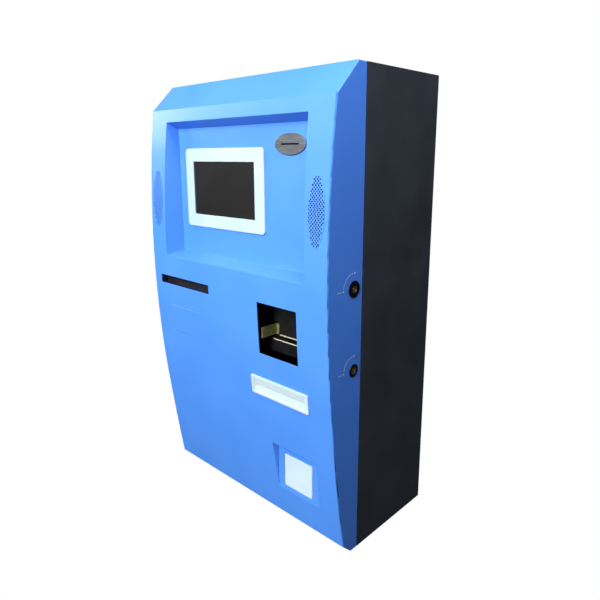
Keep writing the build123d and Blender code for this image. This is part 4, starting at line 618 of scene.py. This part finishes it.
# Two lattices of hole middles, the second half a column and one row over, stagger the holes.
rows = add(oval_tree, "GeometryNodeJoinGeometry")
for shift in (0.0, 0.5):
    lattice = add(
        oval_tree,
        "GeometryNodeMeshGrid",
        {"Vertices X": GRILLE_COLUMNS, "Vertices Y": GRILLE_ROWS},
    )
    across = add(
        oval_tree,
        "ShaderNodeMath",
        {0: given["Column Pitch"], 1: GRILLE_COLUMNS - 1.0},
        operation="MULTIPLY",
    )
    along = add(
        oval_tree,
        "ShaderNodeMath",
        {0: given["Row Pitch"], 1: 2.0 * (GRILLE_ROWS - 1)},
        operation="MULTIPLY",
    )
    oval_tree.links.new(across.outputs[0], lattice.inputs["Size X"])
    oval_tree.links.new(along.outputs[0], lattice.inputs["Size Y"])
    side_step = add(
        oval_tree, "ShaderNodeMath", {0: given["Column Pitch"], 1: shift}, operation="MULTIPLY"
    )
    row_step = add(
        oval_tree, "ShaderNodeMath", {0: given["Row Pitch"], 1: 2 * shift}, operation="MULTIPLY"
    )
    step = add(
        oval_tree, "ShaderNodeCombineXYZ", {"X": side_step.outputs[0], "Y": row_step.outputs[0]}
    )
    moved = add(
        oval_tree,
        "GeometryNodeTransform",
        {"Geometry": lattice.outputs["Mesh"], "Translation": step.outputs[0]},
    )
    oval_tree.links.new(moved.outputs[0], rows.inputs[0])
# A hole is punched where its middle lies inside the oval, clear of the rim.
reach_x = add(
    oval_tree, "ShaderNodeMath", {0: given["Half Width"], 1: given["Rim"]}, operation="SUBTRACT"
)
reach_y = add(
    oval_tree, "ShaderNodeMath", {0: given["Half Height"], 1: given["Rim"]}, operation="SUBTRACT"
)
reach = add(
    oval_tree,
    "ShaderNodeCombineXYZ",
    {"X": reach_x.outputs[0], "Y": reach_y.outputs[0], "Z": 1.0},
)
where = add(oval_tree, "GeometryNodeInputPosition")
share = add(
    oval_tree,
    "ShaderNodeVectorMath",
    {0: where.outputs[0], 1: reach.outputs[0]},
    operation="DIVIDE",
)
spread = add(oval_tree, "ShaderNodeVectorMath", {0: share.outputs[0]}, operation="LENGTH")
outside = add(
    oval_tree, "ShaderNodeMath", {0: spread.outputs["Value"], 1: 1.0}, operation="GREATER_THAN"
)
kept = add(
    oval_tree,
    "GeometryNodeDeleteGeometry",
    {"Geometry": rows.outputs[0], "Selection": outside.outputs[0]},
)
hole = add(
    oval_tree,
    "GeometryNodeCurvePrimitiveCircle",
    {"Resolution": HOLE_SIDES, "Radius": given["Hole Radius"]},
)
punched = add(
    oval_tree,
    "GeometryNodeInstanceOnPoints",
    {"Points": kept.outputs[0], "Instance": hole.outputs["Curve"]},
)
punched_real = add(oval_tree, "GeometryNodeRealizeInstances", {"Geometry": punched.outputs[0]})
curves = add(oval_tree, "GeometryNodeJoinGeometry")
oval_tree.links.new(outline.outputs[0], curves.inputs[0])
oval_tree.links.new(punched_real.outputs[0], curves.inputs[0])
sheet = add(oval_tree, "GeometryNodeFillCurve", {"Curve": curves.outputs[0]})
pair = add(oval_tree, "GeometryNodeJoinGeometry")
for side in (-1.0, 1.0):
    sideways = add(
        oval_tree, "ShaderNodeMath", {0: given["Middle X"], 1: side}, operation="MULTIPLY"
    )
    place = add(
        oval_tree,
        "ShaderNodeCombineXYZ",
        {"X": sideways.outputs[0], "Y": given["Middle Z"]},
    )
    placed = add(
        oval_tree,
        "GeometryNodeTransform",
        {"Geometry": sheet.outputs[0], "Translation": place.outputs[0]},
    )
    oval_tree.links.new(placed.outputs[0], pair.inputs[0])
# The flat ovals are stood up and rolled to the curve of the door.
flat = add(oval_tree, "ShaderNodeSeparateXYZ", {"Vector": where.outputs[0]})
slope = add(
    oval_tree,
    "ShaderNodeMath",
    {0: flat.outputs["Y"], 1: given["Bend 2"], 2: given["Bend 1"]},
    operation="MULTIPLY_ADD",
)
y_there = add(
    oval_tree,
    "ShaderNodeMath",
    {0: flat.outputs["Y"], 1: slope.outputs[0], 2: given["Bend 0"]},
    operation="MULTIPLY_ADD",
)
there = add(
    oval_tree,
    "ShaderNodeCombineXYZ",
    {"X": flat.outputs["X"], "Y": y_there.outputs[0], "Z": flat.outputs["Y"]},
)
rolled = add(
    oval_tree,
    "GeometryNodeSetPosition",
    {"Geometry": pair.outputs[0], "Position": there.outputs[0]},
)
backed = add(
    oval_tree,
    "GeometryNodeExtrudeMesh",
    {"Mesh": rolled.outputs[0], "Offset": (0.0, 1.0, 0.0), "Offset Scale": given["Thickness"],
     "Individual": False},
)
turned_out = add(oval_tree, "GeometryNodeFlipFaces", {"Mesh": backed.outputs["Mesh"]})
plate = add(oval_tree, "GeometryNodeJoinGeometry")
oval_tree.links.new(turned_out.outputs[0], plate.inputs[0])
oval_tree.links.new(rolled.outputs[0], plate.inputs[0])
welded = add(
    oval_tree,
    "GeometryNodeMergeByDistance",
    {"Geometry": plate.outputs[0], "Distance": WELD_GAP},
)
loose = add(oval_tree, "GeometryNodeRealizeInstances", {"Geometry": welded.outputs[0]})
sprayed = add(
    oval_tree,
    "GeometryNodeSetMaterial",
    {"Geometry": loose.outputs[0], "Material": given["Material"]},
)
add(oval_tree, "NodeGroupOutput", {"Geometry": sprayed.outputs[0]})

low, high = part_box("speaker_grilles")
rim = np.array([v.co for v in nodes["speaker_grilles"].data.vertices])
right = rim[rim[:, 0] > 0]
bend = np.polyfit(rim[:, 2], rim[:, 1], 2)
front = rim[rim[:, 1] < np.polyval(bend, rim[:, 2])]
bend = np.polyfit(front[:, 2], front[:, 1], 2)
grilles = grown(
    oval_tree,
    "speaker_grilles_punched",
    bpy.data.meshes.new("speaker_grilles_start"),
    {
        "Half Width": float(right[:, 0].max() - right[:, 0].min()) / 2,
        "Half Height": (high.z - low.z) / 2,
        "Rim": GRILLE_RIM,
        "Hole Radius": GRILLE_HOLE_RADIUS,
        "Column Pitch": GRILLE_COLUMN_PITCH,
        "Row Pitch": GRILLE_ROW_PITCH,
        "Middle X": float(right[:, 0].max() + right[:, 0].min()) / 2,
        "Middle Z": (low.z + high.z) / 2,
        "Bend 2": float(bend[0]),
        "Bend 1": float(bend[1]),
        "Bend 0": float(bend[2]) + GRILLE_SINK,
        "Thickness": GRILLE_THICKNESS,
        "Material": sprayed_blue,
    },
)
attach(grilles, "door")
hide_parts("speaker_grilles")

# ================================================================ printer
# Thermal printer for A4 slips: a black chute, the head with its cutter, the rubber platen
# and the roll of paper on a plastic spindle.
paper = surface("thermal paper", "#F1F1EC", "#E6E6E0", 25.0, (0.6, 0.75), 0.5, 0.01)
chute_black = surface(
    "blue-black moulded nylon", "#17244F", "#121D42", 25.0, (0.4, 0.5), 0.7, 0.02,
)
paint(chute_black, "paper_chute")
paint(black_moulding, "print_head")
paint(rubber, "platen_roller")
paint(pale_grey_moulding, "roll_spindle")
paint(paper, "paper_roll")

# ================================================================ banknote acceptor
# Black validator with bright steel lips at its slot and an olive guide bracket, hung between
# two ribs; the painted steel note box drops in behind it.
olive = surface(
    "yellow-passivated zinc", "#96955A", "#717346", 8.0, (0.4, 0.55), 1.5, 0.015, metallic=0.2,
)
# Its near-white edge colour is a painted highlight on the edges of the lips.
bright = surface(
    "polished stainless steel", "#F2F0DC", "#E2E0C8", 5.0, (0.16, 0.3), 1.0, 0.005,
    metallic=0.25, edge="#FFFFF4", edge_radius=0.6,
)
# Its pale edge colour is a painted highlight along the note box's corners.
box_paint = surface(
    "grey hammered paint", "#55585B", "#484B4E", 30.0, (0.36, 0.5), 2.5, 0.06, edge="#8A8D90",
)
transport_black = surface(
    "black glass-filled nylon", "#0B0D10", "#07090B", 20.0, (0.42, 0.56), 0.6, 0.02,
)
paint(transport_black, "note_validator")
paint(bright, "note_lips")
paint(olive, "note_guide_bracket")
paint(galvanised, "validator_brackets", "cassette_cradle")
paint(box_paint, "note_cassette")

# ================================================================ ticket slot
# White moulded bezel whose field folds inwards to a thin slot, in front of the ticket reader
# and its black moulded housing.
paint(white, "ticket_bezel")
paint(black_moulding, "ticket_reader")

# ================================================================ coin return
# White moulded flap hung on a zinc-plated steel pin at the front of a galvanised cup. A push
# from the front swings it into the cup.
paint(white, "coin_flap")
paint(galvanised, "coin_cup")
paint(zinc, "flap_pin")

# ================================================================ locks
# Two round locks in the right flank: black lacquered bodies with plated brass plugs, and
# steel hooks behind. Pale printed arcs with end dots and a tick show the key's two positions.
# Its grey edge colour is a painted highlight on the rims of the lock bodies.
lacquer = surface(
    "black lacquered zinc casting", "#131416", "#0C0D0F", 15.0, (0.16, 0.26), 0.8, 0.01,
    edge="#8F9296", edge_radius=0.5, coat=0.5,
)
brass = surface(
    "nickel-plated brass", "#A3946B", "#796C4A", 2.0, (0.18, 0.3), 0.5, 0.02, metallic=0.7,
)
paint(lacquer, "lock_barrels")
paint(zinc, "lock_nuts", "lock_keepers", "upper_lock_hook", "lower_lock_hook")
paint(brass, "upper_lock_plug", "lower_lock_plug")
ink = surface("pale screen-printing ink", "#EAF4FF", "#DCEAFB", 5.0, (0.5, 0.6), 0.6, 0.005)
joint_at = {j["name"]: Vector(j.get("pos_m", (0, 0, 0))) for j in frame["joints"]}
FLANK_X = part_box("door_shell")[1].x
INK_THICKNESS = 0.08 * MM
LINE_WIDTH = 1.3 * MM
DOT_RADIUS = 2.2 * MM
TICK_GAP = 6.0 * MM
TICK_LENGTH = 13.0 * MM
ARC_START, ARC_END = math.radians(88.0), math.radians(180.0)
ARC_MARGIN = 0.1
ARC_STEPS = 40
DOT_SIDES = 20
for which, arc_radius in (("upper", 36.0 * MM), ("lower", 34.0 * MM)):
    middle = joint_at[which + "_lock_turn"]
    marks = bmesh.new()
    edge_points = []
    for radius in (arc_radius - LINE_WIDTH / 2, arc_radius + LINE_WIDTH / 2):
        turns = [
            ARC_START + (ARC_END - ARC_START) * (ARC_MARGIN + (1 - 2 * ARC_MARGIN) * k / ARC_STEPS)
            for k in range(ARC_STEPS + 1)
        ]
        edge_points.append(
            [
                marks.verts.new(
                    (FLANK_X, middle.y + radius * math.cos(a), middle.z + radius * math.sin(a))
                )
                for a in turns
            ]
        )
    inner, outer = edge_points
    faces = [
        marks.faces.new((inner[k], inner[k + 1], outer[k + 1], outer[k]))
        for k in range(ARC_STEPS)
    ]
    for angle in (ARC_START, ARC_END):
        dot_y = middle.y + arc_radius * math.cos(angle)
        dot_z = middle.z + arc_radius * math.sin(angle)
        dot = [
            marks.verts.new((FLANK_X, dot_y + DOT_RADIUS * math.cos(a), dot_z + DOT_RADIUS * math.sin(a)))
            for a in (k * math.tau / DOT_SIDES for k in range(DOT_SIDES))
        ]
        faces.append(marks.faces.new(dot))
    tick_start = middle.y - arc_radius - TICK_GAP
    tick = [
        marks.verts.new((FLANK_X, tick_start - along * TICK_LENGTH, middle.z + up * LINE_WIDTH / 2))
        for along, up in ((0, -1), (0, 1), (1, 1), (1, -1))
    ]
    faces.append(marks.faces.new(tick))
    raised = bmesh.ops.extrude_face_region(marks, geom=faces)
    lifted = [v for v in raised["geom"] if isinstance(v, bmesh.types.BMVert)]
    bmesh.ops.translate(marks, verts=lifted, vec=(INK_THICKNESS, 0, 0))
    bmesh.ops.recalc_face_normals(marks, faces=marks.faces)
    mark_mesh = bpy.data.meshes.new(which + "_lock_marks")
    marks.to_mesh(mark_mesh)
    marks.free()
    mark_mesh.materials.append(ink)
    mark = bpy.data.objects.new(which + "_lock_marks", mark_mesh)
    bpy.context.scene.collection.objects.link(mark)
    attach(mark, "door")
